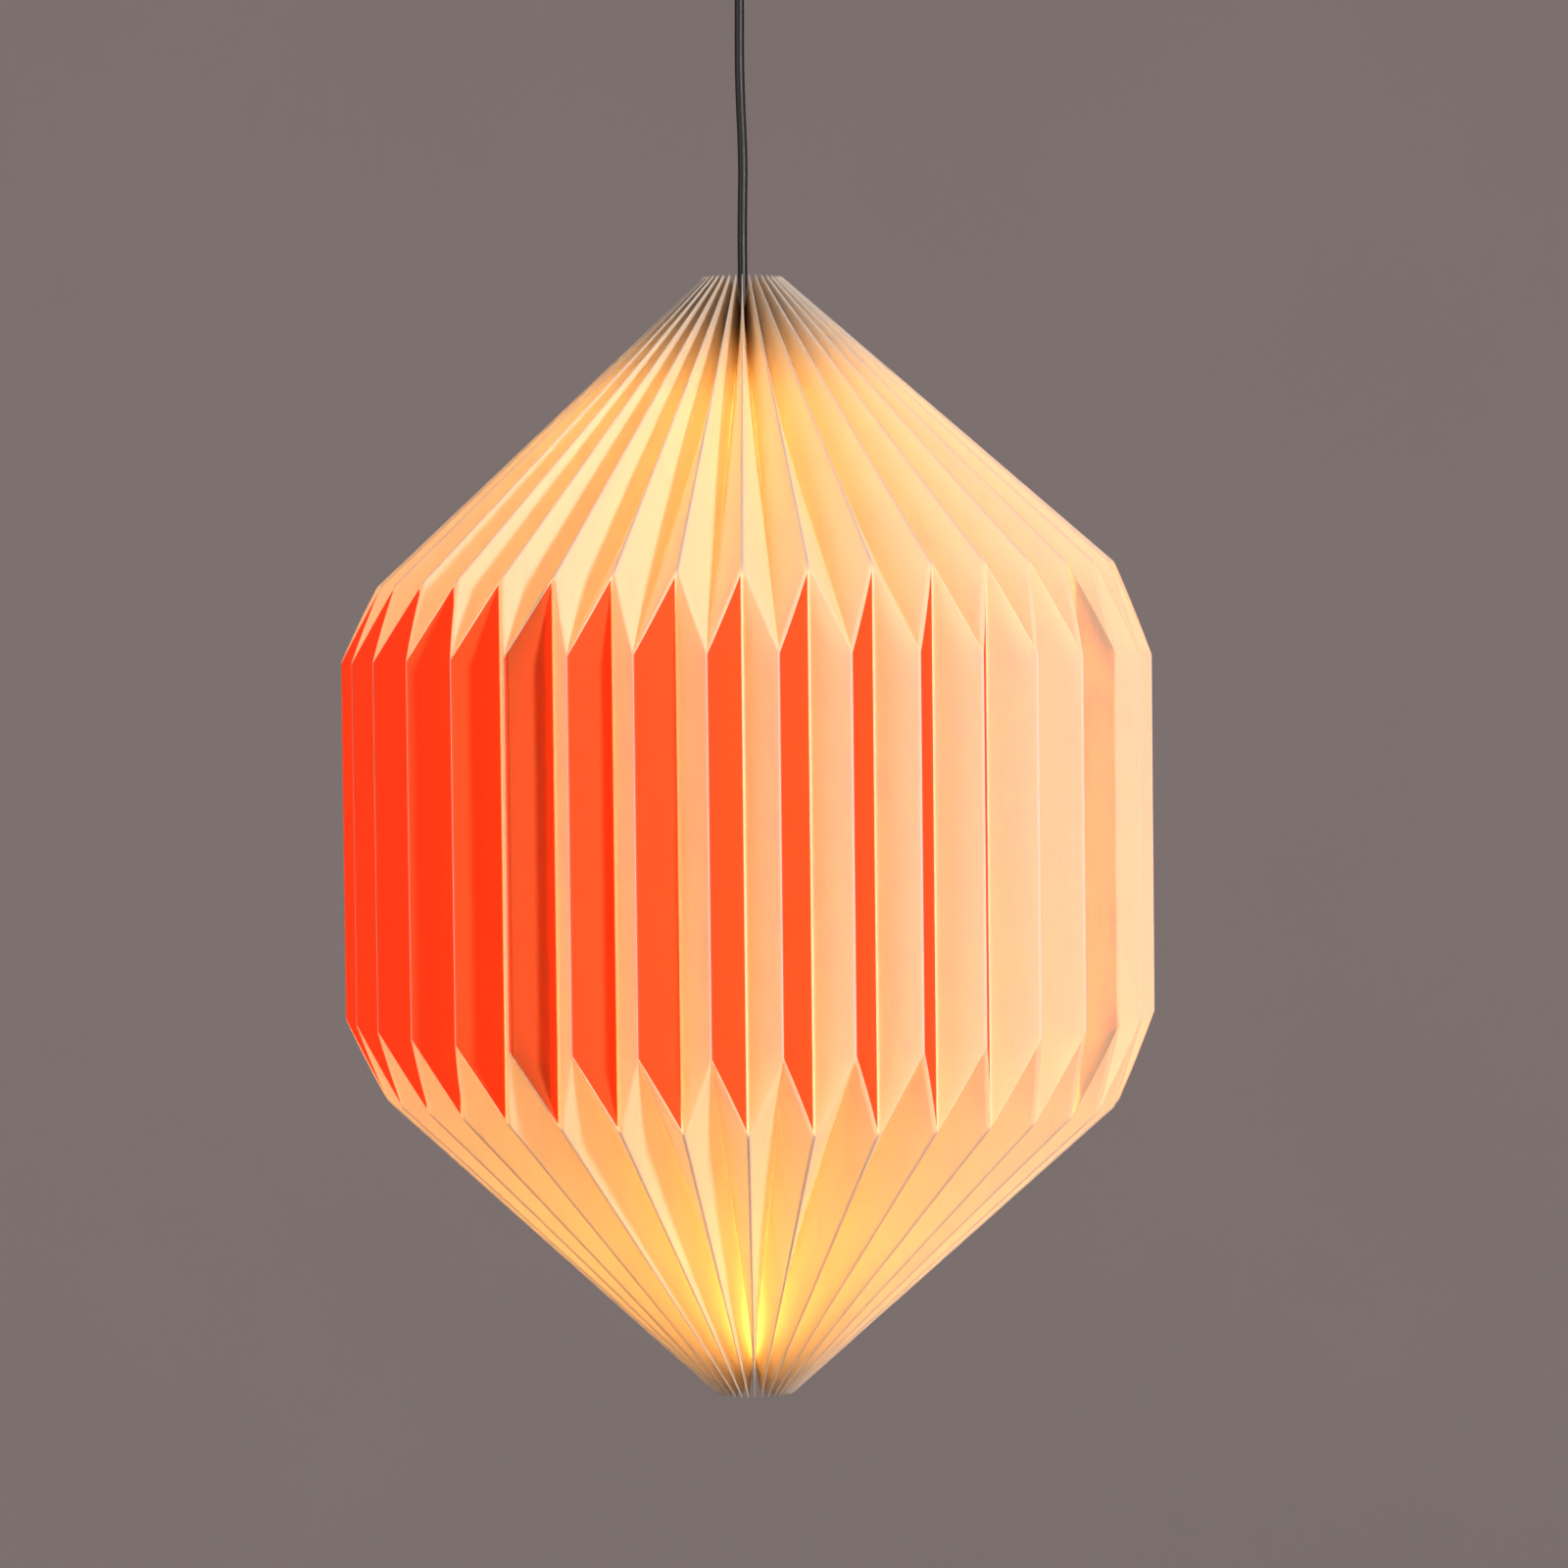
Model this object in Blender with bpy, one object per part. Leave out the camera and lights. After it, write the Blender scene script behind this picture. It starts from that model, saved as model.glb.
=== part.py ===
"""Pleated paper pendant shade on a black cord, with its ceiling cup, lampholder and bulb.

Metres, +Z up. The origin is the centre of the ceiling bracket's top face. The lamp hangs down from it.
Angles round the lamp are counted from -Y towards +X.
"""

from math import cos, pi, radians, sin, sqrt, tan

import bmesh
import bpy
import numpy as np
from mathutils import Matrix, Vector

# ---- clearances ----
seat_gap = 0.0003  # between pieces that touch
slide_gap = 0.0004  # round a piece that turns or slides in another
cutter_margin = 0.0010  # how far a cutter reaches past what it cuts

# ---- ceiling bracket ----
bracket_width = 0.018
bracket_thickness = 0.0016
ear_drop = 0.0150  # how far the turned-down ends reach below the ceiling
supply_hole_radius = 0.0060
supply_hole_offset = 0.0220  # from the centre, towards -X

# ---- ceiling cup ----
cup_radius = 0.0500
cup_height = 0.0280
cup_wall = 0.0012
cup_corner = 0.0060  # rounding of its lower edge
cup_top = -0.0005  # its rim stays just clear of the ceiling
side_screw_radius = 0.0018
side_screw_head_radius = 0.0036
side_screw_head_height = 0.0022
side_screw_tip = 0.0024  # how far the screw reaches past the ear
side_screw_height = -0.0090
side_screw_crown = 0.6  # the head's straight part, and its flat top, as shares of its size

# ---- cord grip in the cup ----
grip_radius = 0.0060
grip_length = 0.0170  # below the cup
grip_flange_radius = 0.0075
grip_flange_height = 0.0020
grip_thread_radius = 0.0048
grip_thread_length = 0.0070  # above the flange
grip_nut_radius = 0.0080
grip_nut_height = 0.0030
grip_screw_radius = 0.0014
grip_screw_head_radius = 0.0026
grip_screw_head_height = 0.0018
grip_screw_drop = 0.0105  # below the cup
grip_chamfer = 0.0010

# ---- cord ----
cord_radius = 0.0024
cord_start_gap = 0.0010  # the hanging cord starts this far below its grip
cord_hang = 0.1695  # from the grip's mouth down to the lampholder
cord_sheath_rise = 0.0240  # the sheath inside the cup, above the grip's mouth
core_radius = 0.0008
core_spread = 0.0010  # each core's distance from the cord's middle
core_depth = 0.0060  # how far a core reaches into the terminal block
core_rise = 0.0022  # how far a core leaves its sheath before it bends
core_bend = (0.0034, 0.0015)  # where it bends over: from the centre, and below the block's middle
core_level = 0.0080  # from here on it lies level
# sideways places of the hanging cord, from its grip to the lampholder, at even heights
cord_route = (0.0, -0.0001, -0.0003, -0.0003, 0.0, 0.0005, 0.0007, 0.0004, 0.0001, 0.0, 0.0, 0.0)
cord_point_step = 0.0110

# ---- terminal block ----
terminal_length = 0.0200
terminal_depth = 0.0160
terminal_height = 0.0100
terminal_offset = 0.0240  # from the centre, towards +X
terminal_pitch = 0.0080
terminal_bore = 0.0016

# ---- lampholder ----
nipple_flange_radius = 0.0062
nipple_flange_height = 0.0040
nipple_shank_radius = 0.0048
nipple_shank_length = 0.0070
nipple_edge = 0.0010
cord_tail = 0.0010  # how far the cord reaches past the nipple
holder_radius = 0.0200
holder_wall = 0.0018
holder_cap_neck_radius = 0.0085
holder_cap_slope_drop = 0.0062
holder_cap_skirt = 0.0130
holder_body_length = 0.0420
holder_spigot_length = 0.0060
insert_thickness = 0.0080
insert_drop = 0.0010  # below the spigot's edge
insert_ledge_height = 0.0020
insert_terminal_spread = 0.0085
terminal_screw_radius = 0.0022
terminal_screw_height = 0.0030
tail_straight = 0.0020  # how far a core runs straight on below the cord
tail_bend = 0.85  # where it bends down to its terminal, as a share of the way out
tail_hump = 0.0006
tail_end = 0.0014  # past the terminal's middle
shell_radius = 0.0135  # inside of the brass screw shell
shell_wall = 0.0004
shell_length = 0.0220
shell_hole_gap = 0.0023  # round the centre contact
centre_contact_radius = 0.0030
centre_contact_height = 0.0024
contact_crown_radius = 0.0018
contact_crown_height = 0.0008

# ---- bulb ----
tip_radius = 0.0045
tip_height = 0.0016
tip_top_radius = 0.00315
insulator_top_radius = 0.0055
insulator_height = 0.0032
bulb_cap_length = 0.0205
bulb_cap_wall = 0.0004
bulb_cap_shoulder = 0.0030
glass_radius = 0.0300
glass_wall = 0.0007
glass_neck_overlap = 0.0080  # how far the glass neck sits in the cap
glass_drop = 1.2667 * glass_radius  # from the cap's end down to the widest point
glass_flare_turn = 0.72 * pi  # where the flare joins the ball, from the lower pole
glass_flare_pull = 0.4  # how stiffly the flare follows both, as a share of its length
glass_flare_steps = 5
glass_ball_steps = 8
stem_radius = 0.0040
stem_length = 0.0340
stem_overlap = 0.0020  # into the bulb's cap
stem_flare_edge = 0.0010
stem_flare_length = 0.0090
stem_taper = 0.0030  # at its lower end
filament_radius = 0.0008
filament_length = 0.0340
filament_ring = 0.0085  # radius of the filaments' lower ends
filament_overlap = 0.0060  # their upper ends lie this far beside the stem
filament_count = 4

# ---- paper shade ----
pleat_count = 38
sheet_count = 4
panel_width = 0.0243
paper_thickness = 0.0002
crease_width = 0.0003  # flat at each fold
shoulder_radius = 8.2716 * panel_width
band_height = 0.1805  # between the corners of the outer creases
corner_rise = 0.0395  # the inner creases' corners, above and below those
cone_rise = 0.7358 * shoulder_radius  # from the inner creases' corners to the tips of the fins
least_fin_radius = 0.0194  # the fins' tips, round the cord, where its clearance allows
fin_radius_step = 0.0002
cord_clearance = 0.0010  # from the cord to the ends of the valleys
seam_turn = radians(-33.2)  # the first seam's outer crease
flap_gap = 0.0005
flap_edge_inset = 0.0040  # the hidden flap's edge, from the inner crease
face_edge_inset = 0.0015  # the covering panel's edge, from the outer crease
flap_root_inset = 0.0009
flap_trim_start = 0.0900  # the flap is cut away this far from both ends of the sheet
flap_trim_end = 0.0940
flap_trim_width = 0.0008
thread_inset = 0.0030  # thread holes, from the sheet's edge
thread_offset = 0.0045  # thread holes, from the outer crease
thread_hole = 0.0018
thread_radius = 0.0004

for old in list(bpy.data.objects):
    bpy.data.objects.remove(old, do_unlink=True)


# ---- materials and basic shapes ----
def finish(name, colour, roughness, metallic=0.0):
    material = bpy.data.materials.new(name)
    material.use_nodes = True
    shader = material.node_tree.nodes["Principled BSDF"]
    shader.inputs["Base Color"].default_value = (*colour, 1.0)
    shader.inputs["Roughness"].default_value = roughness
    shader.inputs["Metallic"].default_value = metallic
    return material


zinc_steel = finish("zinc_steel", (0.62, 0.62, 0.60), 0.35, 1.0)
cup_paint = finish("cup_paint", (0.02, 0.02, 0.02), 0.45)
black_plastic = finish("black_plastic", (0.03, 0.03, 0.03), 0.50)
white_plastic = finish("white_plastic", (0.80, 0.79, 0.76), 0.45)
cord_cover = finish("cord_cover", (0.015, 0.015, 0.018), 0.60)
brown_core = finish("brown_core", (0.20, 0.07, 0.03), 0.45)
blue_core = finish("blue_core", (0.04, 0.12, 0.45), 0.45)
ceramic = finish("ceramic", (0.85, 0.83, 0.78), 0.30)
brass = finish("brass", (0.78, 0.57, 0.25), 0.30, 1.0)
nickel = finish("nickel", (0.70, 0.69, 0.66), 0.25, 1.0)
solder = finish("solder", (0.55, 0.55, 0.56), 0.40, 1.0)
black_glass = finish("black_glass", (0.02, 0.02, 0.03), 0.15)
clear_glass = finish("clear_glass", (0.95, 0.93, 0.88), 0.05)
phosphor = finish("phosphor", (0.95, 0.62, 0.12), 0.50)
cream_paper = finish("cream_paper", (0.90, 0.82, 0.70), 0.75)
white_thread = finish("white_thread", (0.85, 0.83, 0.78), 0.80)


def piece_from(name, bm, material, smooth_angle=35.0):
    mesh = bpy.data.meshes.new(name)
    bm.to_mesh(mesh)
    bm.free()
    mesh.materials.append(material)
    mesh.shade_smooth()
    mesh.set_sharp_from_angle(angle=radians(smooth_angle))
    piece = bpy.data.objects.new(name, mesh)
    bpy.context.scene.collection.objects.link(piece)
    return piece


def turned(name, outline, material, segments=32, closed=True, at=(0.0, 0.0, 0.0)):
    """A piece turned round Z from (radius, height) points. An open outline starts and ends on the axis."""
    bm = bmesh.new()
    verts = [bm.verts.new((r, 0.0, z)) for r, z in outline]
    pairs = list(zip(verts, verts[1:]))
    if closed:
        pairs.append((verts[-1], verts[0]))
    edges = [bm.edges.new(pair) for pair in pairs]
    bmesh.ops.spin(
        bm, geom=verts + edges, axis=(0, 0, 1), cent=(0, 0, 0), angle=2 * pi, steps=segments, use_merge=True
    )
    bmesh.ops.remove_doubles(bm, verts=bm.verts, dist=1e-7)
    bmesh.ops.recalc_face_normals(bm, faces=bm.faces)
    piece = piece_from(name, bm, material)
    piece.location = at
    return piece


def plate(name, outline, depth, material, turn=None):
    """A plate from an (x, z) outline, as deep as depth along Y and centred on it."""
    bm = bmesh.new()
    face = bm.faces.new([bm.verts.new((x, -depth / 2, z)) for x, z in outline])
    swept = bmesh.ops.extrude_face_region(bm, geom=[face])
    moved = [v for v in swept["geom"] if isinstance(v, bmesh.types.BMVert)]
    bmesh.ops.translate(bm, verts=moved, vec=(0, depth, 0))
    bmesh.ops.recalc_face_normals(bm, faces=bm.faces)
    if turn:
        bmesh.ops.transform(bm, verts=bm.verts, matrix=turn)
    return piece_from(name, bm, material)


def block(name, low, high, material):
    (x0, y0, z0), (x1, y1, z1) = low, high
    piece = plate(name, ((x0, z0), (x1, z0), (x1, z1), (x0, z1)), y1 - y0, material)
    piece.location = (0.0, (y0 + y1) / 2, 0.0)
    return piece


def cut(piece, cutters):
    """Takes each cutter out of the piece."""
    for cutter in cutters:
        cutter.hide_render = True
        cutter.display_type = "WIRE"
        knife = piece.modifiers.new("cut", "BOOLEAN")
        knife.operation = "DIFFERENCE"
        knife.object = cutter


def rod(name, radius, start, end, material, segments=16):
    """A plain round rod between two points, which also serves as a drill."""
    start, end = Vector(start), Vector(end)
    bm = bmesh.new()
    bmesh.ops.create_cone(
        bm, cap_ends=True, segments=segments, radius1=radius, radius2=radius, depth=(end - start).length
    )
    turn = (end - start).to_track_quat("Z", "Y").to_matrix().to_4x4()
    bmesh.ops.transform(bm, verts=bm.verts, matrix=Matrix.Translation((start + end) / 2) @ turn)
    return piece_from(name, bm, material)


def smooth_points(route, step):
    """Points every step along a smooth curve through the route's points."""
    points = [Vector(p) for p in route]
    ends = [2 * points[0] - points[1], *points, 2 * points[-1] - points[-2]]
    fine = []
    for a, b, c, d in zip(ends, ends[1:], ends[2:], ends[3:]):
        for k in range(24):
            t = k / 24
            squared, cubed = 2 * a - 5 * b + 4 * c - d, 3 * b - a - 3 * c + d
            fine.append((2 * b + (c - a) * t + squared * t**2 + cubed * t**3) / 2)
    fine.append(points[-1])
    runs = [0.0]
    for a, b in zip(fine, fine[1:]):
        runs.append(runs[-1] + (b - a).length)
    count = max(2, round(runs[-1] / step))
    marks = np.linspace(0.0, runs[-1], count + 1)
    return [tuple(float(np.interp(m, runs, [p[k] for p in fine])) for k in range(3)) for m in marks]


def strand(name, points, radius, material, sides=2, is_loop=False):
    """A round cord along the points, closed at both ends or joined into a loop."""
    line = bpy.data.curves.new(name, "CURVE")
    line.dimensions = "3D"
    line.bevel_depth = radius
    line.bevel_resolution = sides
    line.use_fill_caps = not is_loop
    line.resolution_u = 1
    line.render_resolution_u = 0
    spline = line.splines.new("POLY")
    spline.use_cyclic_u = is_loop
    spline.points.add(len(points) - 1)
    for point, place in zip(spline.points, points):
        point.co = (*place, 1.0)
    line.materials.append(material)
    piece = bpy.data.objects.new(name, line)
    bpy.context.scene.collection.objects.link(piece)
    return piece


# ---- ceiling bracket: a strap with two turned-down ends, slotted for the cup's screws ----
cup_inside = cup_radius - cup_wall
ear_outer = sqrt((cup_inside - 3 * seat_gap) ** 2 - (bracket_width / 2) ** 2)  # its corners clear the cup
ear_inner = ear_outer - bracket_thickness
bracket = plate(
    "ceiling_bracket",
    (
        (-ear_outer, 0.0),
        (ear_outer, 0.0),
        (ear_outer, -ear_drop),
        (ear_inner, -ear_drop),
        (ear_inner, -bracket_thickness),
        (-ear_inner, -bracket_thickness),
        (-ear_inner, -ear_drop),
        (-ear_outer, -ear_drop),
    ),
    bracket_width,
    zinc_steel,
)
slot_half = side_screw_radius + slide_gap
slot_bottom = -ear_drop - cutter_margin
for side in (-1, 1):
    inner, outer = sorted((side * (ear_inner - cutter_margin), side * (ear_outer + cutter_margin)))
    slot = block(
        f"slot_cutter_{side}",
        (inner, -slot_half, slot_bottom),
        (outer, slot_half, side_screw_height),
        zinc_steel,
    )
    slot_end = rod(
        f"slot_end_cutter_{side}",
        slot_half,
        (inner, 0, side_screw_height),
        (outer, 0, side_screw_height),
        zinc_steel,
    )
    cut(bracket, (slot, slot_end))
cut(
    bracket,
    [
        rod(
            "supply_hole_cutter",
            supply_hole_radius,
            (-supply_hole_offset, 0, -bracket_thickness - cutter_margin),
            (-supply_hole_offset, 0, cutter_margin),
            zinc_steel,
            24,
        )
    ],
)

# ---- ceiling cup: open at the ceiling, with a hole for the cord grip ----
cup_floor = cup_top - cup_height
corner_steps = 3
corner_arc = [k / corner_steps * pi / 2 for k in range(corner_steps + 1)]
cup_outer_corner = [
    (cup_radius - cup_corner + cup_corner * cos(a), cup_floor + cup_corner - cup_corner * sin(a))
    for a in corner_arc
]
inner_corner = cup_corner - cup_wall
cup_inner_corner = [
    (cup_radius - cup_corner + inner_corner * cos(a), cup_floor + cup_corner - inner_corner * sin(a))
    for a in corner_arc
]
grip_hole_radius = grip_thread_radius + seat_gap
canopy = turned(
    "ceiling_cup",
    [
        (cup_radius, cup_top),
        *cup_outer_corner,
        (grip_hole_radius, cup_floor),
        (grip_hole_radius, cup_floor + cup_wall),
        *reversed(cup_inner_corner),
        (cup_inside, cup_top),
    ],
    cup_paint,
    40,
)
for side, name in ((-1, "left"), (1, "right")):
    drill = rod(
        f"cup_screw_cutter_{name}",
        side_screw_radius + seat_gap,
        (side * (cup_inside - cutter_margin), 0, side_screw_height),
        (side * (cup_radius + cutter_margin), 0, side_screw_height),
        cup_paint,
    )
    cut(canopy, [drill])
    head_face = cup_radius + seat_gap
    shank_end = ear_inner - side_screw_tip
    screw = turned(
        f"cup_screw_{name}",
        [
            (0.0, shank_end),
            (side_screw_radius, shank_end),
            (side_screw_radius, head_face),
            (side_screw_head_radius, head_face),
            (side_screw_head_radius, head_face + side_screw_crown * side_screw_head_height),
            (side_screw_crown * side_screw_head_radius, head_face + side_screw_head_height),
            (0.0, head_face + side_screw_head_height),
        ],
        nickel,
        20,
        closed=False,
    )
    screw.rotation_euler = (0.0, side * pi / 2, 0.0)
    screw.location = (0.0, 0.0, side_screw_height)

# ---- cord grip: a threaded bush under the cup, its nut above and its pinching screw ----
grip_bore = cord_radius + seat_gap
grip_top = cup_floor - seat_gap
grip_mouth = grip_top - grip_length
grip = turned(
    "cord_grip",
    [
        (grip_bore, grip_mouth),
        (grip_radius - grip_chamfer, grip_mouth),
        (grip_radius, grip_mouth + grip_chamfer),
        (grip_radius, grip_top - grip_flange_height),
        (grip_flange_radius, grip_top - grip_flange_height),
        (grip_flange_radius, grip_top),
        (grip_thread_radius, grip_top),
        (grip_thread_radius, grip_top + grip_thread_length),
        (grip_bore, grip_top + grip_thread_length),
    ],
    black_plastic,
    24,
)
nut_base = cup_floor + cup_wall + seat_gap
nut_bore = grip_thread_radius + seat_gap
turned(
    "grip_nut",
    [
        (nut_bore, nut_base),
        (grip_nut_radius, nut_base),
        (grip_nut_radius, nut_base + grip_nut_height),
        (nut_bore, nut_base + grip_nut_height),
    ],
    nickel,
    24,
)
grip_screw_z = cup_floor - grip_screw_drop
cut(
    grip,
    [
        rod(
            "grip_screw_cutter",
            grip_screw_radius + seat_gap,
            (0, -cord_radius + cutter_margin, grip_screw_z),
            (0, -grip_radius - cutter_margin, grip_screw_z),
            black_plastic,
        )
    ],
)
grip_screw_head = grip_radius + seat_gap
grip_screw = turned(
    "grip_screw",
    [
        (0.0, cord_radius + seat_gap),
        (grip_screw_radius, cord_radius + seat_gap),
        (grip_screw_radius, grip_screw_head),
        (grip_screw_head_radius, grip_screw_head),
        (grip_screw_head_radius, grip_screw_head + grip_screw_head_height),
        (0.0, grip_screw_head + grip_screw_head_height),
    ],
    black_plastic,
    16,
    closed=False,
)
grip_screw.rotation_euler = (pi / 2, 0.0, 0.0)
grip_screw.location = (0.0, 0.0, grip_screw_z)

# ---- terminal block under the bracket ----
terminal_top = -bracket_thickness - seat_gap
terminal_low = terminal_top - terminal_height
terminal_middle = (terminal_top + terminal_low) / 2
terminal_inner = terminal_offset - terminal_length / 2
terminal = block(
    "terminal_block",
    (terminal_inner, -terminal_depth / 2, terminal_low),
    (terminal_offset + terminal_length / 2, terminal_depth / 2, terminal_top),
    white_plastic,
)
for side, name in ((-1, "live"), (1, "neutral")):
    drill = rod(
        f"terminal_cutter_{name}",
        terminal_bore,
        (terminal_inner - cutter_margin, side * terminal_pitch / 2, terminal_middle),
        (terminal_inner + core_depth + cutter_margin, side * terminal_pitch / 2, terminal_middle),
        white_plastic,
    )
    cut(terminal, [drill])

# ---- cord: a short stretch in the cup, the hanging cord, and its two cores at both ends ----
sheath_top = grip_mouth + cord_sheath_rise
strand(
    "cord_in_cup",
    [(0.0, 0.0, grip_mouth + k / 4 * cord_sheath_rise) for k in range(5)],
    cord_radius,
    cord_cover,
)
holder_top = grip_mouth - cord_hang
cord_start = grip_mouth - cord_start_gap
cord_end = holder_top - nipple_flange_height - nipple_shank_length
hang_heights = np.linspace(cord_start, holder_top, len(cord_route))
route = [(x, 0.0, float(z)) for x, z in zip(cord_route, hang_heights)] + [(0.0, 0.0, cord_end)]
strand("cord", smooth_points(route, cord_point_step), cord_radius, cord_cover)

for side, name, colour in ((-1, "live", brown_core), (1, "neutral", blue_core)):
    y0, y1 = side * core_spread, side * terminal_pitch / 2
    inside = [
        (0.0, y0, sheath_top + seat_gap),
        (0.0, y0, sheath_top + core_rise),
        (core_bend[0], (y0 + y1) / 2, terminal_middle - core_bend[1]),
        (core_level, y1, terminal_middle),
        (terminal_inner, y1, terminal_middle),
        (terminal_inner + core_depth, y1, terminal_middle),
    ]
    strand(f"{name}_core", smooth_points(inside, 3 * core_radius), core_radius, colour, 1)

# ---- lampholder: nipple, cap, body, insert with its terminals, screw shell and centre contact ----
nipple_bore = cord_radius + seat_gap
flange_low = holder_top - nipple_flange_height
turned(
    "holder_nipple",
    [
        (nipple_bore, cord_end + cord_tail),
        (nipple_shank_radius, cord_end + cord_tail),
        (nipple_shank_radius, flange_low),
        (nipple_flange_radius, flange_low),
        (nipple_flange_radius, holder_top - nipple_edge),
        (nipple_flange_radius - nipple_edge, holder_top),
        (nipple_bore, holder_top),
    ],
    black_plastic,
    24,
)
cap_top = flange_low - seat_gap
cap_hole = nipple_shank_radius + seat_gap
cap_shoulder = cap_top - holder_cap_slope_drop
cap_low = cap_shoulder - holder_cap_skirt
cap_slope = np.arctan2(holder_cap_slope_drop, holder_radius - holder_cap_neck_radius)
inner_shift = holder_wall * tan(cap_slope / 2)
turned(
    "holder_cap",
    [
        (cap_hole, cap_top),
        (holder_cap_neck_radius, cap_top),
        (holder_radius, cap_shoulder),
        (holder_radius, cap_low),
        (holder_radius - holder_wall, cap_low),
        (holder_radius - holder_wall, cap_shoulder - inner_shift),
        (holder_cap_neck_radius - inner_shift, cap_top - holder_wall),
        (cap_hole, cap_top - holder_wall),
    ],
    black_plastic,
    32,
)
spigot_radius = holder_radius - holder_wall - seat_gap
spigot_inside = spigot_radius - holder_wall
body_top = cap_low - seat_gap
body_low = body_top - holder_body_length
spigot_top = body_top + holder_spigot_length
insert_top = spigot_top - insert_drop
insert_low = insert_top - insert_thickness
ledge_top = insert_low - seat_gap
ledge_inside = shell_radius + shell_wall + seat_gap
holder_inside = holder_radius - holder_wall
turned(
    "holder_body",
    [
        (spigot_inside, spigot_top),
        (spigot_radius, spigot_top),
        (spigot_radius, body_top),
        (holder_radius, body_top),
        (holder_radius, body_low),
        (holder_inside, body_low),
        (holder_inside, ledge_top - insert_ledge_height),
        (ledge_inside, ledge_top - insert_ledge_height),
        (ledge_inside, ledge_top),
        (spigot_inside, ledge_top),
    ],
    black_plastic,
    32,
)
insert_radius = spigot_inside - seat_gap
insert = turned(
    "holder_insert",
    [(0.0, insert_low), (insert_radius, insert_low), (insert_radius, insert_top), (0.0, insert_top)],
    ceramic,
    32,
    closed=False,
)
for side, name in ((-1, "live"), (1, "neutral")):
    spot = side * insert_terminal_spread
    turned(
        f"{name}_terminal",
        [
            (0.0, insert_top + seat_gap),
            (terminal_screw_radius, insert_top + seat_gap),
            (terminal_screw_radius, insert_top + seat_gap + terminal_screw_height),
            (0.0, insert_top + seat_gap + terminal_screw_height),
        ],
        brass,
        16,
        closed=False,
        at=(spot, 0.0, 0.0),
    )
    wire_start = cord_end - seat_gap
    wire_end = insert_top + terminal_screw_height + 2 * seat_gap + core_radius
    y0 = side * core_spread
    middle = (wire_start + wire_end) / 2
    tail = [
        (0.0, y0, wire_start),
        (0.0, y0, wire_start - tail_straight),
        (spot / 2, y0 / 2, middle),
        (spot * tail_bend, 0.0, wire_end + tail_hump),
        (spot + side * tail_end, 0.0, wire_end),
    ]
    strand(
        f"holder_{name}_core",
        smooth_points(tail, 3 * core_radius),
        core_radius,
        brown_core if side < 0 else blue_core,
        1,
    )
shell_top = insert_low - seat_gap
shell_low = shell_top - shell_length
shell_outer = shell_radius + shell_wall
shell_hole = centre_contact_radius + shell_hole_gap
turned(
    "screw_shell",
    [
        (shell_hole, shell_top),
        (shell_outer, shell_top),
        (shell_outer, shell_low),
        (shell_radius, shell_low),
        (shell_radius, shell_top - shell_wall),
        (shell_hole, shell_top - shell_wall),
    ],
    brass,
    32,
)
contact_low = shell_top - centre_contact_height
turned(
    "centre_contact",
    [
        (0.0, contact_low),
        (contact_crown_radius, contact_low),
        (centre_contact_radius, contact_low + contact_crown_height),
        (centre_contact_radius, shell_top),
        (0.0, shell_top),
    ],
    brass,
    16,
    closed=False,
)

# ---- bulb: contact tip, insulator, cap, glass, stem and filaments ----
tip_top = contact_low - seat_gap
tip_low = tip_top - tip_height
turned(
    "bulb_tip",
    [(0.0, tip_low), (tip_radius, tip_low), (tip_top_radius, tip_top), (0.0, tip_top)],
    solder,
    20,
    closed=False,
)
bulb_cap_radius = shell_radius - slide_gap
insulator_top = tip_low - seat_gap
insulator_low = insulator_top - insulator_height
cap_lid_radius = bulb_cap_radius - bulb_cap_shoulder
turned(
    "bulb_insulator",
    [
        (0.0, insulator_low),
        (cap_lid_radius, insulator_low),
        (insulator_top_radius, insulator_top),
        (0.0, insulator_top),
    ],
    black_glass,
    24,
    closed=False,
)
bulb_cap_top = insulator_low - seat_gap
bulb_cap_low = bulb_cap_top - bulb_cap_length
turned(
    "bulb_cap",
    [
        (0.0, bulb_cap_top),
        (cap_lid_radius, bulb_cap_top),
        (bulb_cap_radius, bulb_cap_top - bulb_cap_shoulder),
        (bulb_cap_radius, bulb_cap_low),
        (bulb_cap_radius - bulb_cap_wall, bulb_cap_low),
        (bulb_cap_radius - bulb_cap_wall, bulb_cap_top - bulb_cap_shoulder - bulb_cap_wall / 2),
        (cap_lid_radius - bulb_cap_wall / 2, bulb_cap_top - bulb_cap_wall),
        (0.0, bulb_cap_top - bulb_cap_wall),
    ],
    nickel,
    32,
    closed=False,
)
neck_radius = bulb_cap_radius - bulb_cap_wall - seat_gap
neck_top = bulb_cap_low + glass_neck_overlap
glass_centre = bulb_cap_low - glass_drop


def glass_outline(radius, neck):
    """Neck, a smooth flare and the ball below it, as (radius, height), from the neck down to the pole."""
    meet = glass_flare_turn
    join = (radius * sin(meet), glass_centre - radius * cos(meet))
    slope = Vector((-cos(meet), -sin(meet)))  # along the ball, upwards
    start = Vector((neck, bulb_cap_low))
    end = Vector(join)
    reach = (end - start).length * glass_flare_pull
    points = [(neck, neck_top)]
    for k in range(glass_flare_steps):
        t = k / glass_flare_steps
        a, b, c, d = start, start + Vector((0, -reach)), end + slope * reach, end
        spot = (1 - t) ** 3 * a + 3 * t * (1 - t) ** 2 * b + 3 * t * t * (1 - t) * c + t**3 * d
        points.append((spot.x, spot.y))
    for k in range(glass_ball_steps):
        angle = meet * (1 - k / glass_ball_steps)
        points.append((radius * sin(angle), glass_centre - radius * cos(angle)))
    points.append((0.0, glass_centre - radius))
    return points


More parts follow.
